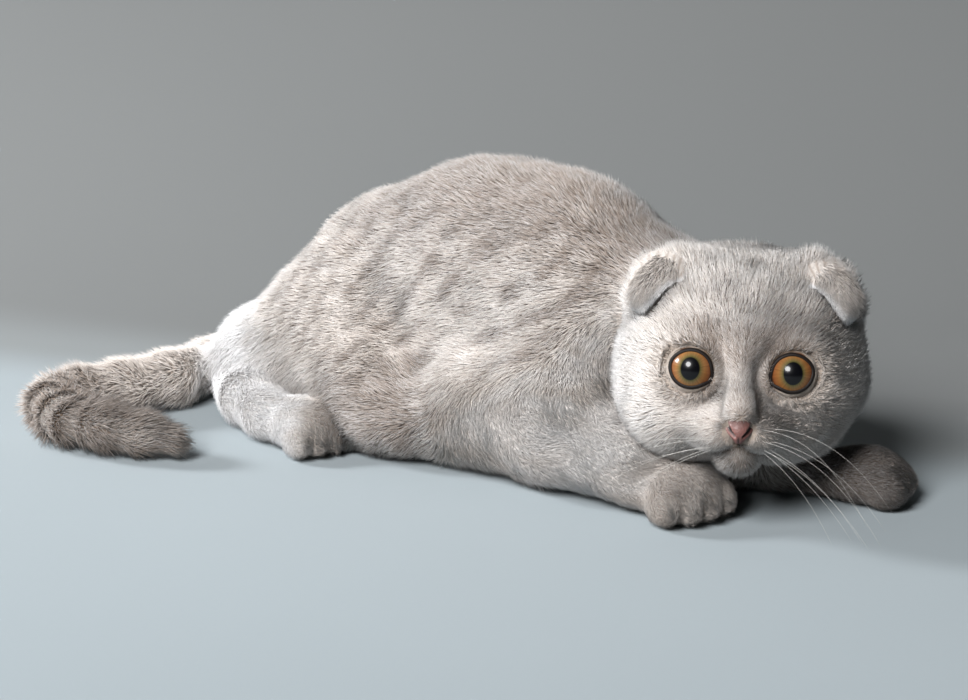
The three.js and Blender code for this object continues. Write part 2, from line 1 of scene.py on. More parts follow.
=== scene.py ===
"""A life-size Scottish fold cat, crouched low with its head turned and its tail curled along the floor.

The body's sizes are in millimetres, as on the bench: +X forwards along the spine, +Y to the cat's left,
+Z up and the floor at 0. MM turns them into metres when a mesh is made. One smooth skin is drawn over
the body's masses, and the short coat is laid on it as fine tapered tufts of solid mesh.
"""
from math import cos, pi, radians, sin

import bmesh
import bpy
import numpy as np
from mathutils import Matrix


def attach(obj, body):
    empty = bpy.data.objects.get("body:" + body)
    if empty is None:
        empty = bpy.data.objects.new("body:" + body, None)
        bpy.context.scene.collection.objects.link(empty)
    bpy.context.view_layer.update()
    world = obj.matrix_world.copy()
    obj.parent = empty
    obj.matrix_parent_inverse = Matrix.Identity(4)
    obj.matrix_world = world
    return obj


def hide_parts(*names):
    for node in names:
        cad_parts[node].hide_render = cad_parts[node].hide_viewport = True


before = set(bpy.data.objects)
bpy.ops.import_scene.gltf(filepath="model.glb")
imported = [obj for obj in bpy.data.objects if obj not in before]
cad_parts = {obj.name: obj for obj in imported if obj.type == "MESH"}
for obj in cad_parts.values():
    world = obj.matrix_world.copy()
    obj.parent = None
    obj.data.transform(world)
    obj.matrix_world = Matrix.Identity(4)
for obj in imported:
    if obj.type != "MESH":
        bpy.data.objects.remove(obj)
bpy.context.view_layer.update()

import openvdb
from mathutils import Euler, Vector

MM = 0.001
LEFT, RIGHT = 1, -1
SIDE_NAMES = {LEFT: "left", RIGHT: "right"}

# The cell of the skin's grid in mm, and the share of the tufts that is laid
BODY_CELL = 2.3
TUFT_SHARE = 1.0


# Small helpers for rows of points

def unit(v):
    return v / np.maximum(np.linalg.norm(v, axis=-1, keepdims=True), 1e-9)


def smoothstep(low, high, x):
    t = np.clip((x - low) / (high - low), 0.0, 1.0)
    return t * t * (3.0 - 2.0 * t)


def lerp(a, b, t):
    return a + (b - a) * t


def mottle(p, size, seed):
    """Soft random patches about as wide as size, from about -1 to 1."""
    draw = np.random.default_rng(seed)
    waves = unit(draw.normal(size=(7, 3))) * draw.uniform(0.7, 1.4, (7, 1)) * (pi / np.asarray(size))
    return np.sin(p @ waves.T + draw.uniform(0.0, 2 * pi, 7)).sum(-1) / 2.6


def linear(red, green, blue):
    """A colour as seen on a screen, 0 to 255, as the light that it gives back."""
    c = np.array([red, green, blue]) / 255.0
    return np.where(c <= 0.04045, c / 12.92, ((c + 0.055) / 1.055) ** 2.4)


# The head: where its middle is, where it looks and how it is tilted, in degrees.
HEAD_CENTRE = np.array([182.0, -27.0, 63.0])
HEAD_YAW, HEAD_PITCH, HEAD_ROLL = -59.7, 4.0, -1.4
HEAD_TURN = np.array(Euler((radians(HEAD_ROLL), radians(-HEAD_PITCH), radians(HEAD_YAW)), "XYZ").to_matrix())


def in_head(p):
    """Row frame to the head's own frame: forwards, to the cat's left, up."""
    return (p - HEAD_CENTRE) @ HEAD_TURN


def from_head(q):
    return HEAD_CENTRE + np.asarray(q) @ HEAD_TURN.T


# The masses of the body, as signed distances from rows of points, negative inside

def ellipsoid(centre, radii, yaw=0.0):
    c, s = cos(radians(yaw)), sin(radians(yaw))
    turn = np.array([[c, -s, 0.0], [s, c, 0.0], [0.0, 0.0, 1.0]])
    centre, radii = np.array(centre, float), np.array(radii, float)

    def field(p):
        q = (p - centre) @ turn
        near = np.linalg.norm(q / radii, axis=1)
        steep = np.linalg.norm(q / radii**2, axis=1)
        return near * (near - 1.0) / np.maximum(steep, 1e-6)

    return field


def taper(a, b):
    """A tapered limb with round ends, from (x, y, z, radius) to (x, y, z, radius)."""
    start, end = np.array(a[:3], float), np.array(b[:3], float)
    axis = end - start
    length2 = axis @ axis

    def field(p):
        d = p - start
        t = np.clip(d @ axis / length2, 0.0, 1.0)
        return np.linalg.norm(d - t[:, None] * axis, axis=1) - (a[3] + t * (b[3] - a[3]))

    return field


def melt(a, b, blend):
    h = np.maximum(blend - np.abs(a - b), 0.0) / blend
    return np.minimum(a, b) - h * h * blend / 4.0


def melted(blend, *shapes):
    def field(p):
        total = shapes[0](p)
        for shape in shapes[1:]:
            total = melt(total, shape(p), blend)
        return total

    return field


def limb(blend, *stations):
    return melted(blend, *[taper(a, b) for a, b in zip(stations, stations[1:])])


def both(make):
    return [make(side) for side in SIDE_NAMES]


torso = melted(
    22,
    ellipsoid((-40, 2, 28), (34, 36, 28)),
    ellipsoid((-5, 0, 48), (42, 40, 47)),
    ellipsoid((49, -1, 62), (60, 46, 55.5)),
    ellipsoid((86, -3, 62), (36, 38, 51)),
    ellipsoid((6, 0, 20), (78, 42, 24)),
    ellipsoid((36, -50, 16), (36, 29.5, 20)),
    ellipsoid((36, 42, 16), (32, 28, 20)),
    *both(lambda side: ellipsoid((-12, side * 27, 41), (32, 26, 30))),
)
neck = taper((104, -2, 64, 37), (160, -6, 61, 31))
chest = ellipsoid((168, -19, 22), (23, 17, 22))
core = melted(26, torso, neck)

# Each leg: stations (x, y, z, radius) down the upper and lower length, then the paw.
LEGS = {
    "front_right": dict(
        upper=[(112, -27, 57, 28), (108, -42, 40, 25), (76, -45, 27, 24)],
        lower=[(72, -48, 21, 21.5), (112, -52, 24, 24.5), (150, -55, 18, 18)],
        wrist=(155, -56, 13, 13), paw=(171, -54.5, 12.5), yaw=-26, size=1),
    "front_left": dict(
        upper=[(128, 20, 56, 26), (112, 32, 27, 21)],
        lower=[(112, 24, 19, 19), (156, -3, 14.5, 15), (190, -8, 10.5, 11)],
        wrist=(202, -4, 9.5, 10), paw=(224, 3.5, 10.4), yaw=20, size=0.89),
    "hind_right": dict(
        upper=[(-54, -34, 25, 18.5), (-28, -34, 29, 25), (14, -48, 24, 23)],
        lower=[(-58, -42, 16, 16), (-38, -64, 12, 12.5), (-20, -74, 11, 11.5)],
        wrist=(-16, -75, 10.5, 11), paw=(5, -75, 10.5), yaw=-22, size=0.86),
    "hind_left": dict(
        upper=[(-54, 34, 25, 18.5), (-28, 34, 29, 25), (14, 48, 24, 23)],
        lower=[(-58, 42, 16, 16), (-38, 64, 12, 12.5), (-20, 72, 11, 11.5)],
        wrist=(-16, 73, 10.5, 11), paw=(5, 73, 10.5), yaw=16, size=0.86),
}
PAW_RADII = (19.0, 17.5, 13.0)
TOE_RADII = (10.5, 6.6, 8.8)
TOE_REACH, TOE_SPREAD, TOE_SINK = 11.5, 8.4, 0.3

TAIL = [
    (-70, 0, 15, 16), (-81, -34, 12.5, 12.5), (-80, -62, 13, 13.5), (-87, -86, 13.5, 13.8),
    (-95, -106, 13.5, 14), (-95, -121, 13.5, 13.8), (-83, -129, 12.5, 13), (-62, -126.5, 12, 12.5),
    (-46, -122.5, 10.8, 11.2), (-34, -118, 9, 9.3),
]
tail = limb(5, *TAIL)


def toes_of(leg):
    """The four toes across the front of a paw: (centre, radii, yaw)."""
    x, y, _ = leg["paw"]
    ahead = np.array([cos(radians(leg["yaw"])), sin(radians(leg["yaw"]))])
    toes = []
    for place in (-1.5, -0.5, 0.5, 1.5):
        reach = (TOE_REACH - 1.6 * abs(place) ** 1.6) * leg["size"]
        side = place * TOE_SPREAD * leg["size"]
        radii = [radius * leg["size"] for radius in TOE_RADII]
        centre = (x + ahead[0] * reach - ahead[1] * side, y + ahead[1] * reach + ahead[0] * side,
                  radii[2] - TOE_SINK)
        toes.append((centre, radii, leg["yaw"]))
    return toes


for leg in LEGS.values():
    leg["upper_field"] = limb(8, *leg["upper"])
    leg["lower_field"] = limb(6, *leg["lower"])
    pad = melted(8, ellipsoid(leg["paw"], [radius * leg["size"] for radius in PAW_RADII], leg["yaw"]),
                 taper(leg["wrist"], (*leg["paw"], leg["wrist"][3] - 1)))
    leg["paw_field"] = melted(2.6, pad, *[ellipsoid(*toe) for toe in toes_of(leg)])

# The head's masses, in its own frame
EAR_BASE = [(-1, 14, 31), (-3, 26, 34), (-5, 37, 29), (-4, 42, 19)]
face_masses = melted(
    12,
    ellipsoid((-10, 0, 5), (44, 47, 35.5)),
    *both(lambda side: ellipsoid((0, side * 24, -11), (32, 27, 25))),
    ellipsoid((10, 0, -8), (25, 33, 27)),
    *both(lambda side: ellipsoid((13, side * 17 - 3, -25), (23, 24, 17))),
    *both(lambda side: limb(6, *[(x, side * y, z, 5.5) for x, y, z in EAR_BASE])),
)
muzzle_masses = melted(
    5,
    *both(lambda side: ellipsoid((37, side * 8.5, -24), (12, 11, 8.5))),
    taper((26, 0, 6, 10), (43.5, 0, -15, 6.8)),
    ellipsoid((33.5, 0, -34), (11, 10, 8.6)),
)
eye_sockets = both(lambda side: ellipsoid((37.5, side * 19.5, -1.5), (7.5, 14, 12.5)))


def head_shape(q):
    f = melt(face_masses(q), muzzle_masses(q), 8)
    for socket in eye_sockets:
        f = -melt(-f, socket(q), 7)
    return f


NECK_BLEND_LEAST, NECK_BLEND_MOST = 3.0, 12.0
PARTS = ("head", "core", "upper", "lower", "paw", "tail")


def distances(p):
    """The distance to each part of the body, by the names in PARTS, and to the body as a whole."""
    q = in_head(p)
    near = {"head": head_shape(q), "core": core(p), "tail": tail(p)}
    whole = near["core"] = melt(near["core"], chest(p), 12)
    for leg in LEGS.values():
        for part, blend in (("upper", 16), ("lower", 14), ("paw", 5)):
            f = leg[part + "_field"](p)
            whole = melt(whole, f, blend)
            near[part] = np.minimum(near[part], f) if part in near else f
    whole = melt(whole, near["tail"], 9)
    behind = np.clip((q[:, 2] - q[:, 0] - 5) / 24, 0, 1)
    whole = melt(whole, near["head"], lerp(NECK_BLEND_LEAST, NECK_BLEND_MOST, behind))
    return near, whole


# How deep the coat is over each part, in mm
COAT_DEPTH = {"core": 3.5, "upper": 3.3, "lower": 2.7, "paw": 1.3, "tail": 4.2}
FACE_DEPTH, SCALP_DEPTH = 1.2, 2.9
FACE_MIDDLE = np.array([42.0, 0.0, -8.0])


def shares(near):
    """How much of each part a point belongs to, in the order of PARTS."""
    pull = np.stack([np.exp(-np.maximum(near[part], 0.0) / 5.0 - (near[part] < 0) * near[part] / 30.0)
                     for part in PARTS], 1)
    return pull / pull.sum(1, keepdims=True)


def head_depth(q):
    return lerp(FACE_DEPTH, SCALP_DEPTH, smoothstep(14, 46, np.linalg.norm(q - FACE_MIDDLE, axis=1)))


def coat_depth(p, share):
    depth = share[:, 0] * head_depth(in_head(p))
    for n, part in enumerate(PARTS[1:], 1):
        depth = depth + share[:, n] * COAT_DEPTH[part]
    return depth


# The eyes, in the head's frame
EYE_CENTRE, EYE_RADIUS = (24.0, 18.6, -3.0), 10.2
EYE_HALF_WIDTH, EYE_HALF_HEIGHT = 7.2, 6.5
GAZE_UP, GAZE_OUT = 12.0, 5.0


def eye_middle(side):
    return np.array(EYE_CENTRE) * (1, side, 1)


def eye_frame(side):
    """The eye's middle and its own axes as rows, in the head's frame: along the gaze, outwards, up."""
    up, out = radians(GAZE_UP), radians(GAZE_OUT)
    ahead = np.array([cos(up) * cos(out), side * cos(up) * sin(out), sin(up)])
    outwards = unit(np.cross(np.array([0.0, 0.0, 1.0]), ahead)) * side
    upwards = unit(np.cross(ahead, outwards * side))
    return eye_middle(side), np.stack([ahead, outwards, upwards])


# The muzzle, in the head's frame
MOUTH_LINES = [
    [(49.5, 0, -24.5, 0.7), (47.5, 0, -29.2, 0.8)],
    *both(lambda side: [(47.5, 0, -29.2, 0.8), (46.5, side * 4, -31.0, 0.7), (42.5, side * 8.5, -32.0, 0.6),
                        (36, side * 13, -31.6, 0.4)]),
]
NOSE_CENTRE, NOSE_RADII, NOSE_FOOT = np.array([46.0, 0.0, -21.0]), np.array([5.4, 5.8, 5.4]), 0.42
EAR_OPENING, NOSTRIL_CORNER = (9, 42, 13.5), (47, 6.5, -18.8)
LID_GAP, LID_AHEAD, LID_SWELL, LID_BLEND = 3.0, 4.8, 1.3, 3.0
EYE_ROOM, EYE_EDGE, MOUTH_EDGE = 0.35, 0.7, 1.0


def eye_distance(q):
    """The distance from the nearer eye's ball."""
    return np.min(both(lambda side: np.linalg.norm(q - eye_middle(side), axis=1)), axis=0) - EYE_RADIUS


def face_detail(p, f):
    """The folds of the face on the skin: the swell of the lids, room for the eyes, and the mouth."""
    q = in_head(p)
    for side in SIDE_NAMES:
        middle, axes = eye_frame(side)
        e = (q - middle) @ axes.T
        rim = np.hypot(e[:, 1] * EYE_HALF_HEIGHT / EYE_HALF_WIDTH, e[:, 2])
        swell = np.hypot(rim - EYE_HALF_HEIGHT - LID_GAP, e[:, 0] - LID_AHEAD) - LID_SWELL
        f = melt(f, swell, LID_BLEND)
    f = -melt(-f, eye_distance(q) - EYE_ROOM, EYE_EDGE)
    return -melt(-f, mouth_distance(q), MOUTH_EDGE)


def skin_field(p, detailed=True):
    near, whole = distances(p)
    f = whole + coat_depth(p, shares(near))
    return face_detail(p, f) if detailed else f


def slope_of(field, p, step=0.08):
    g = np.empty_like(p)
    for axis in range(3):
        ahead, behind = p.copy(), p.copy()
        ahead[:, axis] += step
        behind[:, axis] -= step
        g[:, axis] = (field(ahead) - field(behind)) / (2 * step)
    return g


def drawn_onto(field, p, rounds=3, most=1.5):
    """The points moved along the slope until they lie on the surface."""
    for _ in range(rounds):
        g = slope_of(field, p)
        steep = np.linalg.norm(g, axis=1)
        move = np.clip(field(p) / np.maximum(steep, 0.4), -most, most)
        p = p - move[:, None] * g / np.maximum(steep, 1e-6)[:, None]
    return p


def on_skin(line):
    """A line of stations on the face, drawn onto the plain skin."""
    start = from_head([station[:3] for station in line])
    places = in_head(drawn_onto(lambda p: skin_field(p, False), start, 6, 2.0))
    return [(*place, station[3]) for place, station in zip(places, line)]


mouth_fields = [limb(0.6, *on_skin(line)) for line in MOUTH_LINES]


def mouth_distance(q):
    return np.min([field(q) for field in mouth_fields], axis=0)


# Making meshes

def new_piece(name, mesh, material):
    """An object at the middle of the frame, smooth shaded, with one material."""
    mesh.polygons.foreach_set("use_smooth", np.ones(len(mesh.polygons), bool))
    mesh.materials.append(material)
    piece = bpy.data.objects.new(name, mesh)
    bpy.context.scene.collection.objects.link(piece)
    return piece


def mesh_from(name, points, faces):
    """A mesh from points in millimetres and faces given as lists or rows of corners."""
    mesh = bpy.data.meshes.new(name)
    faces = faces.tolist() if isinstance(faces, np.ndarray) else faces
    mesh.from_pydata((np.asarray(points) * MM).tolist(), [], faces)
    mesh.update()
    return mesh


BALL_TURNS = 72


def round_axis(polar, angle):
    """Ways that lean from the first axis by polar and are turned about it by angle."""
    return np.stack([np.cos(polar), np.sin(polar) * np.cos(angle), np.sin(polar) * np.sin(angle)], 1)


def turns_of(count):
    return np.arange(count) * 2 * pi / count


def ball_faces(count, turns):
    """The faces of a ball, from its first point over rings of turns points to its last one."""
    faces = []
    last = count - 1 - turns
    for k in range(turns):
        m = (k + 1) % turns
        faces.append([0, 1 + k, 1 + m])
        for ring in range(1, last, turns):
            faces.append([ring + k, ring + turns + k, ring + turns + m, ring + m])
        faces.append([last + m, last + k, count - 1])
    return faces


def mirrored(faces):
    return [face[::-1] for face in faces]


def rows_of(items, name, width, kind=float):
    values = np.empty(len(items) * width, kind)
    items.foreach_get(name, values)
    return values.reshape(-1, width)


def corners_of(mesh):
    return rows_of(mesh.vertices, "co", 3) / MM


def paint(mesh, name, colours):
    """Stores one colour for each point."""
    layer = mesh.color_attributes.new(name, "FLOAT_COLOR", "POINT")
    rgba = np.ones((len(mesh.vertices), 4), np.float32)
    rgba[:, :3] = colours
    layer.data.foreach_set("color", rgba.ravel())


def make_finer(mesh, wanted):
    """Divides the faces whose middles are wanted, once each way."""
    bm = bmesh.new()
    bm.from_mesh(mesh)
    bm.faces.ensure_lookup_table()
    middles = np.array([face.calc_center_median() for face in bm.faces]) / MM
    chosen = np.flatnonzero(wanted(middles))
    edges = {edge for n in chosen for edge in bm.faces[n].edges}
    bmesh.ops.subdivide_edges(bm, edges=list(edges), cuts=1, use_grid_fill=True)
    bm.to_mesh(mesh)
    bm.free()


def unwrap(piece):
    """An unwrap of the piece's own shape."""
    piece.data.uv_layers.new(name="OFBake")
    bpy.ops.object.select_all(action="DESELECT")
    bpy.context.view_layer.objects.active = piece
    piece.select_set(True)
    bpy.ops.object.mode_set(mode="EDIT")
    bpy.ops.mesh.select_all(action="SELECT")
    bpy.ops.uv.smart_project(angle_limit=radians(66), island_margin=0.004)
    bpy.ops.object.mode_set(mode="OBJECT")
    piece.select_set(False)


# The camera stands at the photograph's own viewpoint.
CAMERA_PLACE = (731 * MM, -986 * MM, 399 * MM)
CAMERA_AZIMUTH, CAMERA_DROP = 35.0, 17.0
CAMERA_LENS = 109.8

camera = bpy.data.objects.new("camera", bpy.data.cameras.new("camera"))
camera.data.lens = CAMERA_LENS
camera.data.sensor_width = 36.0
camera.data.clip_start, camera.data.clip_end = 0.05, 20.0
camera.location = CAMERA_PLACE
camera.rotation_euler = (radians(90 - CAMERA_DROP), 0.0, radians(CAMERA_AZIMUTH))
bpy.context.scene.collection.objects.link(camera)
bpy.context.scene.camera = camera


# Finishes

def finish(name, base, roughness, **sockets):
    """A material with its shader; sockets are set by their names with underscores for spaces."""
    material = bpy.data.materials.new(name)
    material.use_nodes = True
    nodes, links = material.node_tree.nodes, material.node_tree.links
    shader = nodes["Principled BSDF"]
    shader.inputs["Base Color"].default_value = (*base, 1.0)
    shader.inputs["Roughness"].default_value = roughness
    for socket, value in sockets.items():
        shader.inputs[socket.replace("_", " ")].default_value = value
    return material, nodes, links, shader


def add(nodes, kind, **values):
    node = nodes.new(kind)
    for name, value in values.items():
        if hasattr(node, name):
            setattr(node, name, value)
        else:
            node.inputs[name.replace("_", " ")].default_value = value
    return node


def grain(nodes, links, scale, detail=3.0):
    """Noise on the object's own coordinates, in features to the metre."""
    place = nodes.new("ShaderNodeTexCoord")
    noise = add(nodes, "ShaderNodeTexNoise", Scale=scale, Detail=detail)
    links.new(place.outputs["Object"], noise.inputs["Vector"])
    return noise.outputs["Fac"]


def even_colour(nodes, colour):
    node = nodes.new("ShaderNodeRGB")
    node.outputs[0].default_value = (*colour, 1.0)
    return node.outputs[0]


def colour_ramp(nodes, stops):
    """Colours that run into each other, from stops (place from 0 to 1, colour)."""
    ramp = nodes.new("ShaderNodeValToRGB")
    elements = ramp.color_ramp.elements
    while len(elements) < len(stops):
        elements.new(0.5)
    for element, (at, colour) in zip(elements, stops):
        element.position, element.color = at, (*colour, 1.0)
    return ramp


def raised(nodes, links, shader, height, distance):
    bump = add(nodes, "ShaderNodeBump", Strength=1.0, Distance=distance)
    links.new(height, bump.inputs["Height"])
    links.new(bump.outputs["Normal"], shader.inputs["Normal"])


def tinted(nodes, links, shader, colour, factor, low, high):
    """The colour made darker and lighter, from low to high, by a factor from 0 to 1."""
    spread = add(nodes, "ShaderNodeMapRange", From_Min=0.3, From_Max=0.7, To_Min=low, To_Max=high)
    links.new(factor, spread.inputs["Value"])
    mix = add(nodes, "ShaderNodeVectorMath", operation="SCALE")
    links.new(colour, mix.inputs[0])
    links.new(spread.outputs["Result"], mix.inputs["Scale"])
    links.new(mix.outputs["Vector"], shader.inputs["Base Color"])


FAWN, PALE, BROWN = linear(202, 192, 184), linear(246, 246, 248), linear(116, 98, 82)
ROOT_SHADE = np.array([0.63, 0.60, 0.57])


def coat_finish(name, roughness, fine, depth):
    """Short fur: the coat's own colour, broken up finely, with a soft sheen at grazing light."""
    material, nodes, links, shader = finish(
        name, FAWN, roughness, Sheen_Weight=0.25, Sheen_Roughness=0.5, Specular_IOR_Level=0.25)
    colour = add(nodes, "ShaderNodeAttribute", attribute_name="coat")
    factor = grain(nodes, links, fine, 4.0)
    tinted(nodes, links, shader, colour.outputs["Color"], factor, 0.86, 1.12)
    if depth:
        raised(nodes, links, shader, factor, depth)
    return material


coat_material = coat_finish("short coat", 0.8, 900, 0.0)
skin_material = coat_finish("undercoat", 0.9, 700, 0.0006)


def tail_rings(p):
    """The soft folds round the bend of the tail, from -1 in a fold to 1 on its crest."""
    turn = np.arctan2(-112.0 - p[:, 1], p[:, 0] + 74.0)
    fan = np.sin(turn * 15 + 0.5 * mottle(p, 20, 5))
    return fan * smoothstep(-98, -108, p[:, 1]) * smoothstep(-62, -76, p[:, 0])


def toned(tone):
    """The coat's colour for a tone: fawn at 0, pale at 1 and brown at -1."""
    return np.where(tone > 0, FAWN + (PALE - FAWN) * tone, FAWN + (FAWN - BROWN) * tone)


def shoulder_line(p):
    """How far a point lies behind the rear edge of the upper foreleg, in mm."""
    return (0.627 * np.abs(p[:, 1]) + 1.422 * p[:, 2] - 6.4 - p[:, 0]) / 1.85


def markings(p, share):
    """The coat's colour at rows of points, with painted shade in places, before root and tip are shaded.

    Each line says where the coat is paler (+) or browner (-), how softly that ends, and by how much.
    """
    q = in_head(p)
    head, core_share, upper, lower, paw, tail_share = share.T
    body = core_share + upper
    x, y, height = p.T
    ahead, across, up = q[:, 0], np.abs(q[:, 1]), q[:, 2]
    tone = 0.10 * mottle(p, 42, 1) + 0.12 * mottle(p * (0.4, 1.0, 1.0), 5.0, 2)

    # Faint bands that fan down the flanks, broken into dashes, a browner back, and painted shade that darkens
    # the belly and the low flank
    fan = np.arctan2(x + 25, height + 20) + 0.04 * mottle(p, 38, 3)
    band = smoothstep(0.0, 0.8, np.sin(fan * 54))
    dashes = smoothstep(-0.9, 0.4, mottle(p * (1.0, 1.0, 0.4), 6.0, 4))
    flank = smoothstep(22, 50, height) * smoothstep(-75, -35, x)
    tone -= body * flank * (0.62 * band * dashes + 0.02)
    tone -= core_share * 0.40 + body * smoothstep(70, 104, height) * 0.55
    # Painted shade: the belly darker towards the floor
    tone -= body * (1 - smoothstep(6, 34, height)) * 0.30
    tone += (body + lower) * smoothstep(-15, -60, x) * 0.58
    # Painted shade low on the flank, between the fore and hind legs
    tone -= body * smoothstep(-5, 15, x) * smoothstep(72, 50, x) * smoothstep(50, 20, height) * 0.85

    # The edge of the shoulder: pale before it and browner behind it, where the brown is partly the flank's
    # own bands and partly painted shade behind the foreleg
    behind = shoulder_line(p)
    arm = body * smoothstep(10, 22, height) * smoothstep(100, 70, height)
    tone -= arm * smoothstep(-1.5, 2.5, behind) * smoothstep(22, 4, behind) * 0.50
    tone += arm * smoothstep(0, -5, behind) * smoothstep(-26, -8, behind) * 0.16

    # Pale legs, paler behind, browner front paws, and painted shade where the head's shadow falls on the
    # chest and the left foreleg
    hind = smoothstep(20, 0, x)
    # Painted shadow of the head: the chest under the chin and the left foreleg, darkened
    head_shadow_place = smoothstep(-24, -8, y) * smoothstep(110, 140, x)
    tone += (lower + paw) * (0.50 + 0.55 * hind) + upper * 0.22
    tone -= paw * (1 - hind) * 0.80
    tone -= (lower + paw + body) * head_shadow_place * 1.5

    # The tail is browner towards its tip, with soft rings round the bend
    tone -= tail_share * (0.62 + 0.34 * tail_rings(p) - 0.53 * smoothstep(-118, -75, y))

    # The head: streaks up the brow, pale sides, and brown over the eyes, at their corners and on the bridge
    fan = np.arctan2(q[:, 1], up + 30)
    middle = smoothstep(36, 14, across)
    brow = smoothstep(-4, 6, up) * smoothstep(22, 12, up) * middle
    crown = smoothstep(12, 22, up) * middle
    streak = smoothstep(-0.2, 1.0, np.sin(fan * 84 + 0.9 * mottle(p, 16, 6)))
    tone -= head * (brow * (0.34 * streak + 0.58) + crown * (0.40 * streak - 0.06))
    tone += head * smoothstep(32, 50, across) * 0.46 * smoothstep(30, 8, up)
    lower_face = smoothstep(34, 24, across) * smoothstep(6, -4, up) * smoothstep(20, -20 / 3, q[:, 1])
    tone -= head * lower_face * 0.24
    tone -= head * smoothstep(-29, -34, up) * smoothstep(13, 8, across) * 0.45
    bridge = smoothstep(11, 4, across) * smoothstep(-24, -12, up) * smoothstep(6, -6, up)
    tone -= head * bridge * smoothstep(20, 34, ahead) * 0.22
    smudge = np.hypot((across - 11.5) / 4.5, (up - 8.0) / 7.5)
    tone -= head * smoothstep(1.3, 0.3, smudge) * smoothstep(10, 20, ahead) * 0.60
    inner = np.hypot(across - 11.0, up + 9.0)
    tone -= head * smoothstep(6.0, 1.5, inner) * smoothstep(20, 28, ahead) * 0.5
    ring = smoothstep(5.5, 2.0, np.abs(eye_distance(q) - 3.0)) * smoothstep(15, 25, ahead)
    tone -= head * ring * 0.10
    tone -= head * smoothstep(2.2, 0.2, mouth_distance(q)) * 0.75
    colour = toned(np.clip(tone, -1.0, 1.0)[:, None])

    # Deep shade in the opening of the ear, at the nostril's corner and under the chest
    mirrored_q = np.stack([ahead, across, up], 1)
    opening = np.linalg.norm((mirrored_q - EAR_OPENING) * (1, 0.8, 1), axis=1)
    nostril = np.linalg.norm(mirrored_q - NOSTRIL_CORNER, axis=1)
    dark = np.maximum(0.85 * smoothstep(6.0, 2.5, opening), 0.6 * smoothstep(3.2, 1.2, nostril))
    return colour * (1 - dark * head - 0.4 * head_shadow_place * (1 - head))[:, None]


# The skin

GRID_LOW, GRID_HIGH = np.array([-116.0, -156.0, -6.0]), np.array([252.0, 100.0, 126.0])
SKIN_FLOOR, TUFT_FLOOR = 0.4, 0.15


def skin_mesh():
    size = np.ceil((GRID_HIGH - GRID_LOW) / BODY_CELL).astype(int) + 1
    axes = [GRID_LOW[n] + BODY_CELL * np.arange(size[n]) for n in range(3)]
    grid_points = np.stack(np.meshgrid(*axes, indexing="ij"), -1).reshape(-1, 3)
    value = np.concatenate([skin_field(block, False) for block in np.array_split(grid_points, 24)])
    value = np.maximum(value, SKIN_FLOOR - grid_points[:, 2])
    grid = openvdb.FloatGrid(background=float(BODY_CELL * 4))
    grid.copyFromArray(value.reshape(size).astype(np.float32))
    points, quads = grid.convertToQuads(isovalue=0.0)
    mesh = mesh_from("skin", points * BODY_CELL + GRID_LOW, quads.astype(int))

    def on_face(p):
        return in_head(p)[:, 0] > 4

    def on_muzzle_or_lids(p):
        q = in_head(p)
        near_eye = (eye_distance(q) < 5.5) & (q[:, 0] > 22)
        near_mouth = (np.hypot(q[:, 1], q[:, 2] + 27) < 15) & (q[:, 0] > 30)
        return near_eye | near_mouth

    make_finer(mesh, on_face)
    make_finer(mesh, on_muzzle_or_lids)
    bm = bmesh.new()
    bm.from_mesh(mesh)
    bmesh.ops.triangulate(bm, faces=bm.faces)
    bmesh.ops.recalc_face_normals(bm, faces=bm.faces)
    bm.to_mesh(mesh)
    bm.free()
    p = drawn_onto(skin_field, corners_of(mesh))
    p[:, 2] = np.maximum(p[:, 2], SKIN_FLOOR)
    mesh.vertices.foreach_set("co", (p * MM).ravel())
    mesh.update()
    return mesh


skin = new_piece("skin", skin_mesh(), skin_material)
unwrap(skin)


# The lie of the coat: how it is combed over each part

BACK_COMB = np.array([-1.0, 0.0, -0.28])
SHOULDER_COMB, HAUNCH_COMB = np.array([-0.45, 0.0, -0.9]), np.array([-0.25, 0.0, -0.97])
NOSE_BRIDGE = np.array([50.0, 0.0, -15.0])


def along_stations(p, stations):
    """The way along a chain of stations, blended between its lengths, and how near the chain is."""
    way, pull = np.zeros_like(p), np.full(len(p), 1e-9)
    for a, b in zip(stations, stations[1:]):
        near = np.exp(-np.maximum(taper(a, b)(p), -4) / 4)
        way += near[:, None] * unit(np.array(b[:3], float) - np.array(a[:3], float))
        pull += near
    return way / pull[:, None], pull


def head_lie(q):
    """Out from the bridge of the nose over the whole head, and away from each eye close to it."""
    way = unit(q - NOSE_BRIDGE)
    for side in SIDE_NAMES:
        away = q - eye_middle(side)
        near = np.exp(-((np.linalg.norm(away, axis=1) - EYE_RADIUS) / 5.0) ** 2)
        way = way + 2.2 * near[:, None] * unit(away)
    return way


def toe_end(leg):
    x, y, _ = leg["paw"]
    return (x + 22 * cos(radians(leg["yaw"])), y + 22 * sin(radians(leg["yaw"])), 5, 8)


def along(way, normal):
    """The part of a way that runs along the surface."""
    return unit(way - (way * normal).sum(1, keepdims=True) * normal)


def lie_of(p, share, normal):
    way = share[:, :1] * (unit(head_lie(in_head(p))) @ HEAD_TURN.T)
    way += share[:, 1:2] * BACK_COMB
    fore = smoothstep(30, 60, p[:, 0])[:, None]
    way += share[:, 2:3] * lerp(HAUNCH_COMB, SHOULDER_COMB, fore)
    limb_way, limb_pull = np.zeros_like(p), np.full((len(p), 1), 1e-9)
    for leg in LEGS.values():
        stations = [*leg["lower"], (*leg["paw"], 12), toe_end(leg)]
        w, pull = along_stations(p, stations)
        limb_way += w * pull[:, None]
        limb_pull += pull[:, None]
    way += (share[:, 3:4] + share[:, 4:5]) * limb_way / limb_pull
    way += share[:, 5:6] * along_stations(p, TAIL)[0]
    swirl = np.stack([mottle(p, 26, 30 + n) for n in range(3)], 1)
    return along(unit(way) + 0.16 * swirl, normal)


# Tufts

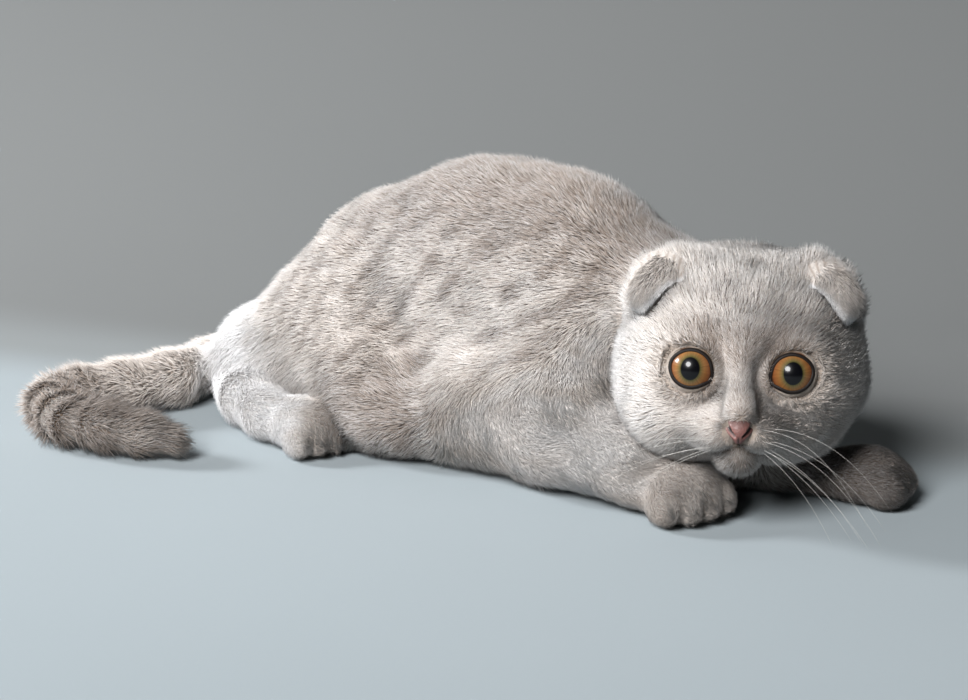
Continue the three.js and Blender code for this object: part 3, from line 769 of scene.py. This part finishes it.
MOST_TRIANGLES = 190000
SPIKE_FACES = np.array([[0, 2, 3], [2, 1, 3], [1, 0, 3], [0, 1, 2]])
SPIKE_RISE = np.array([0, 0, 0, 1.0])
SPIKE_PATCH = np.array([[-1, -0.6], [1, -0.6], [0, 1.1], [0, 0]]) * 0.0015
ROOT_SINK = 0.5


def ground_of(mesh, points):
    """What the coat needs to know of the surface that it grows on."""
    normal = rows_of(mesh.vertices, "normal", 3)
    mesh.calc_loop_triangles()
    corners = rows_of(mesh.loop_triangles, "vertices", 3, np.int32)
    loops = rows_of(mesh.loop_triangles, "loops", 3, np.int32)
    uv = rows_of(mesh.uv_layers["OFBake"].data, "uv", 2)
    return dict(points=points, normal=normal, corners=corners, uv=uv[loops])


def scattered(ground, density, draw):
    """Roots spread over the surface, density to the square mm: (triangle, weights of its corners)."""
    a, b, c = (ground["points"][ground["corners"][:, n]] for n in range(3))
    area = np.linalg.norm(np.cross(b - a, c - a), axis=1) / 2
    expected = area * density[ground["corners"]].mean(1) * TUFT_SHARE
    count = np.floor(expected + draw.random(len(expected))).astype(int)
    triangle = np.repeat(np.arange(len(count)), count)
    u, v = draw.random((2, len(triangle)))
    flip = u + v > 1
    u[flip], v[flip] = 1 - u[flip], 1 - v[flip]
    return triangle, np.stack([1 - u - v, u, v], 1)


def at_roots(ground, values, triangle, weights):
    return np.einsum("nk,nk...->n...", weights, values[ground["corners"][triangle]])


def tuft_arrays(root, normal, lie, length, width, lift):
    """The corners of three-sided tufts, root end first and tip last, one row of corners for each tuft."""
    lift = lift[:, None]
    rising = unit(lie * np.cos(lift) + normal * np.sin(lift))
    across = unit(np.cross(normal, lie))
    over = np.cross(rising, across)
    half = width[:, None] / 2
    base = root - rising * ROOT_SINK
    ring = [base + across * half, base - across * half, base + over * half * 0.8]
    return np.stack([*ring, root + rising * length[:, None]], 1)


def coat_piece(name, corners, colours, uv):
    """One mesh of many tufts from arrays: corners and colours (tufts, corners, 3), uv (tufts, corners, 2)."""
    tufts, each = corners.shape[:2]
    index = (SPIKE_FACES[None] + (np.arange(tufts) * each)[:, None, None]).reshape(-1)
    mesh = bpy.data.meshes.new(name)
    mesh.vertices.add(tufts * each)
    mesh.vertices.foreach_set("co", (corners * MM).ravel())
    mesh.loops.add(len(index))
    mesh.loops.foreach_set("vertex_index", index.astype(np.int32))
    mesh.polygons.add(len(index) // 3)
    mesh.polygons.foreach_set("loop_start", np.arange(0, len(index), 3, dtype=np.int32))
    mesh.update()
    paint(mesh, "coat", colours.reshape(-1, 3))
    layer = mesh.uv_layers.new(name="OFBake")
    layer.data.foreach_set("uv", uv.reshape(-1, 2)[index].astype(np.float32).ravel())
    piece = new_piece(name, mesh, coat_material)
    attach(piece, "root")


def grow(ground, region_of, seed):
    """Tufts over a surface. ground holds, for each of its points, the lie, depth, cover, lift and marks."""
    draw = np.random.default_rng(seed)
    long = ground["depth"] * ground["length_to_depth"]
    wide = ground["width"]
    density = 2 * ground["cover"] / np.maximum(long * wide, 0.3)
    triangle, weights = scattered(ground, density, draw)
    take = lambda values: at_roots(ground, values, triangle, weights)
    root, normal = take(ground["points"]), unit(take(ground["normal"]))
    n = len(root)
    clump = np.stack([mottle(root, 6.5, 40 + k) for k in range(3)], 1)
    lie = along(unit(take(ground["lie"]) + 0.20 * clump + draw.normal(0, 0.20, (n, 3))), normal)
    length = take(long) * draw.uniform(0.7, 1.2, n)
    width = take(wide) * draw.uniform(0.8, 1.25, n)
    lift = take(ground["lift"]) * (1 + 0.25 * mottle(root, 7.5, 50)) * draw.uniform(0.7, 1.3, n)
    corners = tuft_arrays(root, normal, lie, length, width, lift)
    corners[..., 2] = np.maximum(corners[..., 2], TUFT_FLOOR)
    marks = ground["marks"](root, triangle, weights)
    strand = draw.normal(1.0, 0.10, n) * np.where(draw.random(n) < 0.14, 0.78, 1.0)
    pale_tip = np.where(draw.random(n) < 0.3, 0.42, 0.14)[:, None]
    low = marks * ROOT_SHADE * strand[:, None]
    high = lerp(marks, PALE, pale_tip) * strand[:, None]
    colours = low[:, None] + (high - low)[:, None] * SPIKE_RISE[None, :, None]
    spot = np.einsum("nk,nkd->nd", weights, ground["uv"][triangle])
    uv = spot[:, None] + SPIKE_PATCH[None]
    region = region_of(root, triangle, weights)
    for name in sorted(set(region)):
        chosen = np.flatnonzero(region == name)
        parts = -(-len(chosen) * len(SPIKE_FACES) // MOST_TRIANGLES)
        for k, some in enumerate(np.array_split(chosen, parts)):
            label = f"{name}_{k + 1}" if parts > 1 else name
            coat_piece(label, corners[some], colours[some], uv[some])


# The coat over the skin

skin_points = corners_of(skin.data)
skin_share = shares(distances(skin_points)[0])
paint(skin.data, "coat", markings(skin_points, skin_share) * ROOT_SHADE)
ground = ground_of(skin.data, skin_points)
skin_head = in_head(skin_points)
face_near = smoothstep(40, 18, np.linalg.norm(skin_head - FACE_MIDDLE, axis=1)) * skin_share[:, 0]

# Bare places: over the eyes and the nose leather, along the lips, and thinly underneath
nose_gap = np.linalg.norm((skin_head - NOSE_CENTRE) / (NOSE_RADII + 0.6), axis=1)
mouth_gap = mouth_distance(skin_head)
bare = (smoothstep(0.6, 1.4, eye_distance(skin_head) + 10 * (skin_head[:, 0] < 20))
        * smoothstep(0.95, 1.1, nose_gap) * smoothstep(0.2, 0.8, mouth_gap))
under = np.where((ground["normal"][:, 2] < -0.6) & (skin_points[:, 2] < 4), 0.15, 1.0)
shorter = lerp(0.6, 1.0, smoothstep(0.5, 4.0, mouth_gap))

ground["lie"] = lie_of(skin_points, skin_share, ground["normal"])
ground["depth"] = coat_depth(skin_points, skin_share) * shorter
body_share, tail_share = skin_share[:, 1] + skin_share[:, 2], skin_share[:, 5]
ground["length_to_depth"] = 2.1 - 0.5 * body_share - 0.5 * tail_share
ground["width"] = 0.15 + 0.08 * ground["depth"]
ground["cover"] = (3.3 - 0.3 * face_near - 0.4 * skin_share[:, 4]) * bare * under
ground["lift"] = np.radians(23 + 10 * body_share + tail_share * (7 + 26 * tail_rings(skin_points)))


def body_marks(root, triangle, weights):
    return markings(root, at_roots(ground, skin_share, triangle, weights))


def body_region(root, triangle, weights):
    """The name of the coat's piece that each root belongs to, by the part that is nearest to it."""
    part = at_roots(ground, skin_share, triangle, weights).argmax(1)
    side = np.where(root[:, 1] < 0, "coat_right", "coat_left")
    front = np.where(in_head(root)[:, 0] > 8, "coat_face", "coat_scalp")
    flank, legs = np.char.add(side, "_side"), np.char.add(side, "_legs")
    return np.choose(part, [front, flank, flank, legs, legs, np.full(len(root), "coat_tail")])


ground["marks"] = body_marks
grow(ground, body_region, 11)


# Ears: a flap from the root over a rounded crest to the free edge, with its cup beneath

EAR_ROOT = [(0, 14, 31), (-12, 24, 31.5), (-20, 38, 24), (-8, 45, 10)]
EAR_CREST = [(1, 16, 34.5), (-1, 27, 39.2), (-3, 39.5, 35), (-2, 47.5, 22.5)]
EAR_EDGE = [(12, 24.5, 29), (14.5, 30, 27.2), (16, 39, 17.5), (5, 44.5, 14)]
EAR_ACROSS, EAR_OVER = 56, 44
EAR_OUTER, EAR_INNER = 0.9, 2.3


def through(points, s):
    """A smooth line through the points, at places s from 0 to 1."""
    p = np.array(points, float)
    p = np.vstack([2 * p[0] - p[1], p, 2 * p[-1] - p[-2]])
    spans = len(points) - 1
    n = np.minimum((s * spans).astype(int), spans - 1)
    t = (s * spans - n)[:, None]
    a, b, c, d = p[n], p[n + 1], p[n + 2], p[n + 3]
    return 0.5 * (2 * b + (c - a) * t + (2 * a - 5 * b + 4 * c - d) * t**2 + (3 * b - a - 3 * c + d) * t**3)


def ear_faces():
    """The faces of a flap: its two sheets of points, and the strips that close its edges."""
    at = lambda layer, i, j: (layer * (EAR_ACROSS + 1) + i) * (EAR_OVER + 1) + j
    faces = []
    for i in range(EAR_ACROSS):
        for j in range(EAR_OVER):
            faces.append([at(0, i, j), at(0, i + 1, j), at(0, i + 1, j + 1), at(0, i, j + 1)])
            faces.append([at(1, i, j), at(1, i, j + 1), at(1, i + 1, j + 1), at(1, i + 1, j)])
    last = EAR_OVER
    for i in range(EAR_ACROSS):
        faces.append([at(0, i + 1, 0), at(0, i, 0), at(1, i, 0), at(1, i + 1, 0)])
        faces.append([at(0, i, last), at(0, i + 1, last), at(1, i + 1, last), at(1, i, last)])
    last = EAR_ACROSS
    for j in range(EAR_OVER):
        faces.append([at(0, 0, j), at(0, 0, j + 1), at(1, 0, j + 1), at(1, 0, j)])
        faces.append([at(0, last, j + 1), at(0, last, j), at(1, last, j), at(1, last, j + 1)])
    return faces


def ear_piece(side):
    s, t = (g.ravel() for g in np.meshgrid(np.linspace(0, 1, EAR_ACROSS + 1), np.linspace(0, 1, EAR_OVER + 1),
                                           indexing="ij"))

    def sheet(s, t):
        root, crest, edge = (through(line, s) * (1, side, 1) for line in (EAR_ROOT, EAR_CREST, EAR_EDGE))
        bend = 2 * crest - 0.5 * root - 0.5 * edge
        t = t[:, None]
        return root * (1 - t) ** 2 + bend * 2 * t * (1 - t) + edge * t * t

    step = 1e-3
    over = sheet(s, np.minimum(t + step, 1)) - sheet(s, np.maximum(t - step, 0))
    across = sheet(np.minimum(s + step, 1), t) - sheet(np.maximum(s - step, 0), t)
    inwards = unit(np.cross(across, over)) * side
    middle = sheet(s, t) + inwards * (EAR_OUTER + EAR_INNER) / 2
    rim = np.sqrt(np.clip(1 - smoothstep(0.9, 1.0, t) ** 2, 0, 1)) * np.sqrt(
        np.clip(1 - smoothstep(0.94, 1.0, s) ** 2, 0, 1))
    half = (0.12 + 0.88 * rim)[:, None] * (EAR_INNER - EAR_OUTER) / 2
    points = np.vstack([middle - inwards * half, middle + inwards * half])
    faces = mirrored(ear_faces()) if side == LEFT else ear_faces()
    name = "ear_flap_" + SIDE_NAMES[side]
    mesh = mesh_from(name, from_head(points), faces)
    flap = new_piece(name, mesh, skin_material)
    unwrap(flap)
    outside = np.repeat([1.0, 0.0], len(s))
    t2, s2 = np.tile(t, 2), np.tile(s, 2)
    # Painted shade under the flap: the inside is dark at its root and paler towards the free edge
    shaded_inside_colour = lerp(linear(120, 96, 88), linear(196, 176, 164), smoothstep(0.7, 1.0, t2)[:, None])
    strokes = smoothstep(-0.2, 1.0, np.sin(s2 * 62 + 2.0 * t2 + 0.8 * mottle(points, 6, 61)))
    shade = 0.10 - 0.55 * strokes * smoothstep(0.35, 0.6, t2) * smoothstep(0.99, 0.86, t2)
    # The free edge is paler: partly pale hairs along it and partly a painted highlight where the light
    # catches the rim
    shade = (shade + 0.75 * smoothstep(0.93, 0.985, t2))[:, None]
    colour = lerp(shaded_inside_colour, toned(shade), outside[:, None])
    paint(mesh, "coat", colour * lerp(1.0, 0.66, outside)[:, None])

    points = corners_of(mesh)
    floor = ground_of(mesh, points)
    way = np.tile(unit(over + 0.25 * across), (2, 1)) @ HEAD_TURN.T
    floor["lie"] = along(way, floor["normal"])
    short_rim = lerp(1.0, 0.4, smoothstep(0.86, 0.98, t2))
    floor["depth"] = lerp(1.0, 2.1, outside) * short_rim * lerp(1.5, 1.0, smoothstep(0.05, 0.3, s2))
    floor["length_to_depth"] = np.full(len(points), 2.6)
    floor["width"] = 0.15 + 0.12 * floor["depth"]
    away = smoothstep(0.4, 1.4, distances(points)[1] + 0.8)
    floor["cover"] = lerp(0.9, 4.5, outside) * away * np.where(t2 > 0.985, 0.5, 1.0)
    floor["lift"] = np.radians(np.full(len(points), 30.0))
    marks = colour * (1 + 0.06 * mottle(points, 5, 60))[:, None]
    floor["marks"] = lambda root, triangle, weights: at_roots(floor, marks, triangle, weights)
    label = "coat_ear_" + SIDE_NAMES[side]
    grow(floor, lambda root, triangle, weights: np.full(len(root), label), 70 + side)
    return flap


ears = {side: ear_piece(side) for side in SIDE_NAMES}


# Eyes

IRIS_RADIUS, IRIS_SQUEEZE, CORNEA_RISE = 8.2, 0.83, 0.9
PUPIL_BLACK = (0.002, 0.002, 0.003)
IRIS_STOPS = [
    (0.0, PUPIL_BLACK), (0.43, PUPIL_BLACK), (0.46, linear(70, 66, 36)), (0.53, linear(98, 80, 48)),
    (0.66, linear(122, 84, 46)), (0.80, linear(116, 72, 38)), (0.88, linear(104, 58, 26)),
    (0.95, linear(36, 22, 15)), (1.0, linear(16, 11, 9)),
]


def eye_material():
    material, nodes, links, shader = finish(
        "wet copper eye", linear(190, 120, 50), 0.3, Coat_Weight=0.6, Coat_Roughness=0.02, Coat_IOR=1.38,
        Specular_IOR_Level=0.15)
    place = add(nodes, "ShaderNodeAttribute", attribute_name="iris")
    length = add(nodes, "ShaderNodeVectorMath", operation="LENGTH")
    links.new(place.outputs["Vector"], length.inputs[0])
    ramp = colour_ramp(nodes, IRIS_STOPS)
    links.new(length.outputs["Value"], ramp.inputs["Fac"])
    round_pupil = add(nodes, "ShaderNodeVectorMath", operation="NORMALIZE")
    links.new(place.outputs["Vector"], round_pupil.inputs[0])
    fibres = add(nodes, "ShaderNodeTexNoise", Scale=9.0, Detail=5.0, Roughness=0.7)
    links.new(round_pupil.outputs["Vector"], fibres.inputs["Vector"])
    tinted(nodes, links, shader, ramp.outputs["Color"], fibres.outputs["Fac"], 0.72, 1.25)
    return material


eye_finish = eye_material()


def eye_piece(side):
    middle, axes = eye_frame(side)
    front = radians(62)
    polar = np.concatenate([np.linspace(0, front, 56)[1:], np.linspace(front, pi, 16)[1:-1]])
    polar, angle = (g.ravel() for g in np.meshgrid(polar, turns_of(BALL_TURNS), indexing="ij"))
    radius = EYE_RADIUS + CORNEA_RISE * smoothstep(radians(50), 0.0, polar)
    local = round_axis(polar, angle) * radius[:, None]
    local = np.vstack([[EYE_RADIUS + CORNEA_RISE, 0, 0], local, [-EYE_RADIUS, 0, 0]])
    faces = ball_faces(len(local), BALL_TURNS)
    name = "eyeball_" + SIDE_NAMES[side]
    mesh = mesh_from(name, from_head(middle + local @ axes), mirrored(faces) if side == RIGHT else faces)
    layer = mesh.attributes.new("iris", "FLOAT_VECTOR", "POINT")
    flat = np.zeros((len(local), 3), np.float32)
    flat[:, 0], flat[:, 1] = local[:, 1] / IRIS_RADIUS, local[:, 2] / IRIS_RADIUS * IRIS_SQUEEZE
    flat[local[:, 0] < 0, 0] = 1.2
    layer.data.foreach_set("vector", flat.ravel())
    return new_piece(name, mesh, eye_finish)


eyes = {side: eye_piece(side) for side in SIDE_NAMES}


def lid_material():
    rim = linear(20, 14, 12)
    material, nodes, links, shader = finish("dark rim of the lids", rim, 0.6, Specular_IOR_Level=0.2)
    factor = grain(nodes, links, 1800, 2.0)
    tinted(nodes, links, shader, even_colour(nodes, rim), factor, 0.7, 1.3)
    raised(nodes, links, shader, factor, 0.0001)
    return material


lid_finish = lid_material()
LID_TURNS = 96
# Round the section of the rim: (mm out of the ball, share of the rim's breadth)
LID_PROFILE = [(-0.7, -0.1), (0.4, -0.05), (0.7, 0.25), (0.75, 0.6), (0.4, 1.1), (-0.9, 2.1)]


def lid_piece(side):
    """The bare rim of the lids: a soft roll round the opening, with a corner at each side."""
    middle, axes = eye_frame(side)
    angle = turns_of(LID_TURNS)
    oval = 1 / np.hypot(np.cos(angle) / EYE_HALF_WIDTH, np.sin(angle) / EYE_HALF_HEIGHT)
    corner = lambda at, wide: np.exp(-(((angle - radians(at) + pi) % (2 * pi) - pi) / radians(wide)) ** 2)
    inner, outer = corner(204, 17), corner(14, 22)
    opening = oval + 1.2 * inner + 0.35 * outer
    breadth = 1.45 + 1.2 * inner + 0.2 * outer
    start = np.arcsin(np.clip(opening / EYE_RADIUS, 0, 0.995))
    points = np.vstack([(EYE_RADIUS + rise) * round_axis(start + out * breadth / EYE_RADIUS, angle)
                        for rise, out in LID_PROFILE])
    faces = []
    for ring in range(len(LID_PROFILE)):
        a, b = ring * LID_TURNS, (ring + 1) % len(LID_PROFILE) * LID_TURNS
        for k in range(LID_TURNS):
            m = (k + 1) % LID_TURNS
            faces.append([a + k, b + k, b + m, a + m])
    name = "lid_rim_" + SIDE_NAMES[side]
    mesh = mesh_from(name, from_head(middle + points @ axes), mirrored(faces) if side == RIGHT else faces)
    return new_piece(name, mesh, lid_finish)


lids = both(lid_piece)


# Nose leather

NOSTRIL_LINE = [(50.6, 2.0, -22.4, 0.5), (49.2, 3.9, -20.3, 1.1), (47.0, 5.9, -18.6, 1.2),
                (44.8, 7.6, -17.8, 0.8)]
NOSTRIL_SINK, CREASE_HALF, CREASE_SINK = 1.5, 0.45, 0.5


def nose_material():
    material, nodes, links, shader = finish("nose leather", linear(118, 84, 82), 0.55, Coat_Weight=0.05)
    colour = add(nodes, "ShaderNodeAttribute", attribute_name="coat")
    place = nodes.new("ShaderNodeTexCoord")
    pebbles = add(nodes, "ShaderNodeTexVoronoi", Scale=1900.0)
    links.new(place.outputs["Object"], pebbles.inputs["Vector"])
    tinted(nodes, links, shader, colour.outputs["Color"], pebbles.outputs["Distance"], 0.80, 0.62)
    raised(nodes, links, shader, pebbles.outputs["Distance"], 0.00012)
    return material


def nose_piece():
    polar = np.linspace(0, pi, 61)[1:-1]
    polar, angle = (g.ravel() for g in np.meshgrid(polar, turns_of(BALL_TURNS), indexing="ij"))
    ball = np.vstack([[1, 0, 0], round_axis(polar, angle), [-1, 0, 0]])
    width = NOSE_FOOT + (1 - NOSE_FOOT) * smoothstep(-1, 0.5, ball[:, 2])
    q = ball * NOSE_RADII
    q[:, 1] *= width
    q += NOSE_CENTRE
    out = unit(ball / NOSE_RADII)
    dark = np.zeros(len(q))
    for side in SIDE_NAMES:
        gap = limb(0.3, *[(f, side * l, u, r) for f, l, u, r in NOSTRIL_LINE])(q)
        q = q - out * (NOSTRIL_SINK * smoothstep(0.75, -0.5, gap))[:, None]
        dark = np.maximum(dark, smoothstep(0.35, -0.35, gap))
    crease = np.exp(-(q[:, 1] / CREASE_HALF) ** 2) * smoothstep(-21.5, -24, q[:, 2])
    q = q - out * (CREASE_SINK * crease)[:, None]
    mesh = mesh_from("nose_leather", from_head(q), ball_faces(len(q), BALL_TURNS))
    base = lerp(linear(126, 82, 76), linear(92, 66, 62), smoothstep(-20, -16, q[:, 2])[:, None])
    # Painted shade: the sunk nostrils and the crease below the nose are painted nearly black
    colour = lerp(base, linear(24, 16, 15), np.maximum(dark, 0.7 * crease)[:, None])
    paint(mesh, "coat", colour)
    return new_piece("nose_leather", mesh, nose_material())


nose = nose_piece()


# Whiskers

WHISKER_SIDES, WHISKER_STEPS, WHISKER_RADIUS = 4, 14, 0.045
WHISKER_ROWS, WHISKER_COLUMNS = 4, 2
WHISKER_FLOOR = 3.0
# For each side: the longest length in mm, how far it droops, and how its rows fan out
WHISKER_LIE = {LEFT: (55, 0.75, 0.26), RIGHT: (50, 0.25, 0.10)}


def whisker_pieces():
    pale = linear(238, 234, 228)
    material, nodes, links, shader = finish("whisker", pale, 0.35)
    tinted(nodes, links, shader, even_colour(nodes, pale), grain(nodes, links, 120), 0.9, 1.05)
    for side, (reach, droop, fan) in WHISKER_LIE.items():
        draw = np.random.default_rng(90 + side)
        points, faces = [], []
        starts = [((44.5 - 1.1 * column, side * (8.5 + 2.3 * column), -21.8 - 2.3 * row),
                   (0.30 - 0.10 * column, side, 0.10 - fan * row), reach - 7 * abs(row - 1) - 4 * column)
                  for row in range(WHISKER_ROWS) for column in range(WHISKER_COLUMNS)]
        for start, way, length in starts:
            length = length * draw.uniform(0.85, 1.15)
            way = unit(np.array(way) + draw.normal(0, 0.07, 3))
            root = in_head(drawn_onto(skin_field, from_head(np.array([start], float)), 4))[0]
            t = np.linspace(0, 1, WHISKER_STEPS + 1)[:, None]
            down = np.array([-0.25, 0.0, -1.0]) * droop * draw.uniform(0.5, 1.2)
            line = from_head(root + length * (way * t + down * t**2.2) - way * 1.0)
            line[:, 2] += max(0.0, WHISKER_FLOOR - line[-1, 2]) * t[:, 0] ** 2
            tangent = unit(np.gradient(line, axis=0))
            first = unit(np.cross(tangent, np.array([0.0, 0.0, 1.0])))
            second = np.cross(tangent, first)
            radius = WHISKER_RADIUS * (1 - 0.6 * t)
            base = len(points)
            for n in range(WHISKER_STEPS + 1):
                for turn in turns_of(WHISKER_SIDES):
                    points.append(line[n] + radius[n] * (cos(turn) * first[n] + sin(turn) * second[n]))
            for n in range(WHISKER_STEPS):
                for k in range(WHISKER_SIDES):
                    m = (k + 1) % WHISKER_SIDES
                    a, b = base + n * WHISKER_SIDES, base + (n + 1) * WHISKER_SIDES
                    faces.append([a + k, a + m, b + m, b + k])
            faces.append([base + k for k in reversed(range(WHISKER_SIDES))])
            faces.append([base + WHISKER_STEPS * WHISKER_SIDES + k for k in range(WHISKER_SIDES)])
        name = "whiskers_" + SIDE_NAMES[side]
        piece = new_piece(name, mesh_from(name, points, faces), material)
        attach(piece, "root")


whisker_pieces()


# What stands for which node

SLOTS = {"coat": [skin, *ears.values()], "nose": [nose, *lids], "eye": list(eyes.values())}
for slot_name, slot_pieces in SLOTS.items():
    for piece in slot_pieces:
        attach(piece, "root")
own = {"ear_left", "ear_right", "eye_left", "eye_right", "nose"}
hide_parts(*[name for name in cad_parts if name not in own])
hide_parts("ear_left")
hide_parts("ear_right")
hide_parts("eye_left")
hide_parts("eye_right")
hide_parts("nose")


# The floor sweeps up softly into the backdrop behind the cat.

SWEEP_START, SWEEP_RADIUS, SWEEP_HEIGHT, SWEEP_WIDTH, SWEEP_STEPS = 0.11, 0.30, 2.5, 5.0, 32
FLOOR_NEAR = -3.0
SLANT = 19.6
# The paper's tones across its slant, painted light and shade that darken it where the floor turns up into the
# backdrop: (metres from the middle, colour)
PAPER_LIGHT_AND_SHADE = [(-0.50, linear(115, 123, 127)), (-0.03, linear(137, 145, 149)), (0.025, linear(118, 122, 123)),
               (0.08, linear(104, 106, 106))]


def from_camera_side(right, away, up):
    """A place given as seen by the camera: to its right, away from it, and up."""
    a = radians(CAMERA_AZIMUTH)
    return (right * cos(a) - away * sin(a), right * sin(a) + away * cos(a), up)


def backdrop():
    profile = [(FLOOR_NEAR, 0.0)]
    for n in range(SWEEP_STEPS + 1):
        turn = n / SWEEP_STEPS * pi / 2
        profile.append((SWEEP_START + SWEEP_RADIUS * sin(turn), SWEEP_RADIUS * (1 - cos(turn))))
    profile.append((SWEEP_START + SWEEP_RADIUS, SWEEP_HEIGHT))
    points = [from_camera_side(w, d, z) for d, z in profile for w in (-SWEEP_WIDTH, SWEEP_WIDTH)]
    faces = [[2 * n, 2 * n + 1, 2 * n + 3, 2 * n + 2] for n in range(len(profile) - 1)]
    mesh = bpy.data.meshes.new("studio_paper")
    mesh.from_pydata(points, [], faces)
    material, nodes, links, shader = finish("studio paper", linear(168, 174, 178), 0.9)
    place = nodes.new("ShaderNodeTexCoord")
    across_slant = add(nodes, "ShaderNodeVectorMath", operation="DOT_PRODUCT")
    across_slant.inputs[1].default_value = from_camera_side(sin(radians(SLANT)), cos(radians(SLANT)), 0)
    links.new(place.outputs["Object"], across_slant.inputs[0])
    nearest, farthest = PAPER_LIGHT_AND_SHADE[0][0], PAPER_LIGHT_AND_SHADE[-1][0]
    spread = add(nodes, "ShaderNodeMapRange", From_Min=nearest, From_Max=farthest)
    links.new(across_slant.outputs["Value"], spread.inputs["Value"])
    paper = colour_ramp(nodes, [((at - nearest) / (farthest - nearest), tone) for at, tone in PAPER_LIGHT_AND_SHADE])
    paper.color_ramp.interpolation = "EASE"
    links.new(spread.outputs["Result"], paper.inputs["Fac"])
    tinted(nodes, links, shader, paper.outputs["Color"], grain(nodes, links, 3), 0.98, 1.02)

    # From its rear the paper is clear, so the cat is seen from behind too
    rear = nodes.new("ShaderNodeNewGeometry")
    clear = nodes.new("ShaderNodeBsdfTransparent")
    either = nodes.new("ShaderNodeMixShader")
    links.new(rear.outputs["Backfacing"], either.inputs["Fac"])
    links.new(shader.outputs["BSDF"], either.inputs[1])
    links.new(clear.outputs["BSDF"], either.inputs[2])
    links.new(either.outputs["Shader"], nodes["Material Output"].inputs["Surface"])
    floor = new_piece("studio_paper", mesh, material)


backdrop()


LIGHT_TARGET = Vector((0.06, -0.02, 0.05))


def soft_light(name, place, size, power, colour):
    light = bpy.data.lights.new(name, "AREA")
    light.shape, light.size, light.energy, light.color = "DISK", size, power, colour
    lamp = bpy.data.objects.new(name, light)
    lamp.location = place
    lamp.rotation_euler = (LIGHT_TARGET - Vector(place)).to_track_quat("-Z", "Y").to_euler()
    bpy.context.scene.collection.objects.link(lamp)


soft_light("key", from_camera_side(-1.48, 0.27, 0.82), 0.4, 42, (0.97, 0.985, 1.0))
soft_light("front", from_camera_side(-0.52, -1.20, 1.08), 0.8, 51, (1.0, 1.0, 1.0))
world = bpy.data.worlds.new("studio")
world.use_nodes = True
world.node_tree.nodes["Background"].inputs["Color"].default_value = (0.80, 0.84, 0.88, 1.0)
world.node_tree.nodes["Background"].inputs["Strength"].default_value = 0.02
bpy.context.scene.world = world
bpy.context.scene.view_settings.view_transform = "Standard"
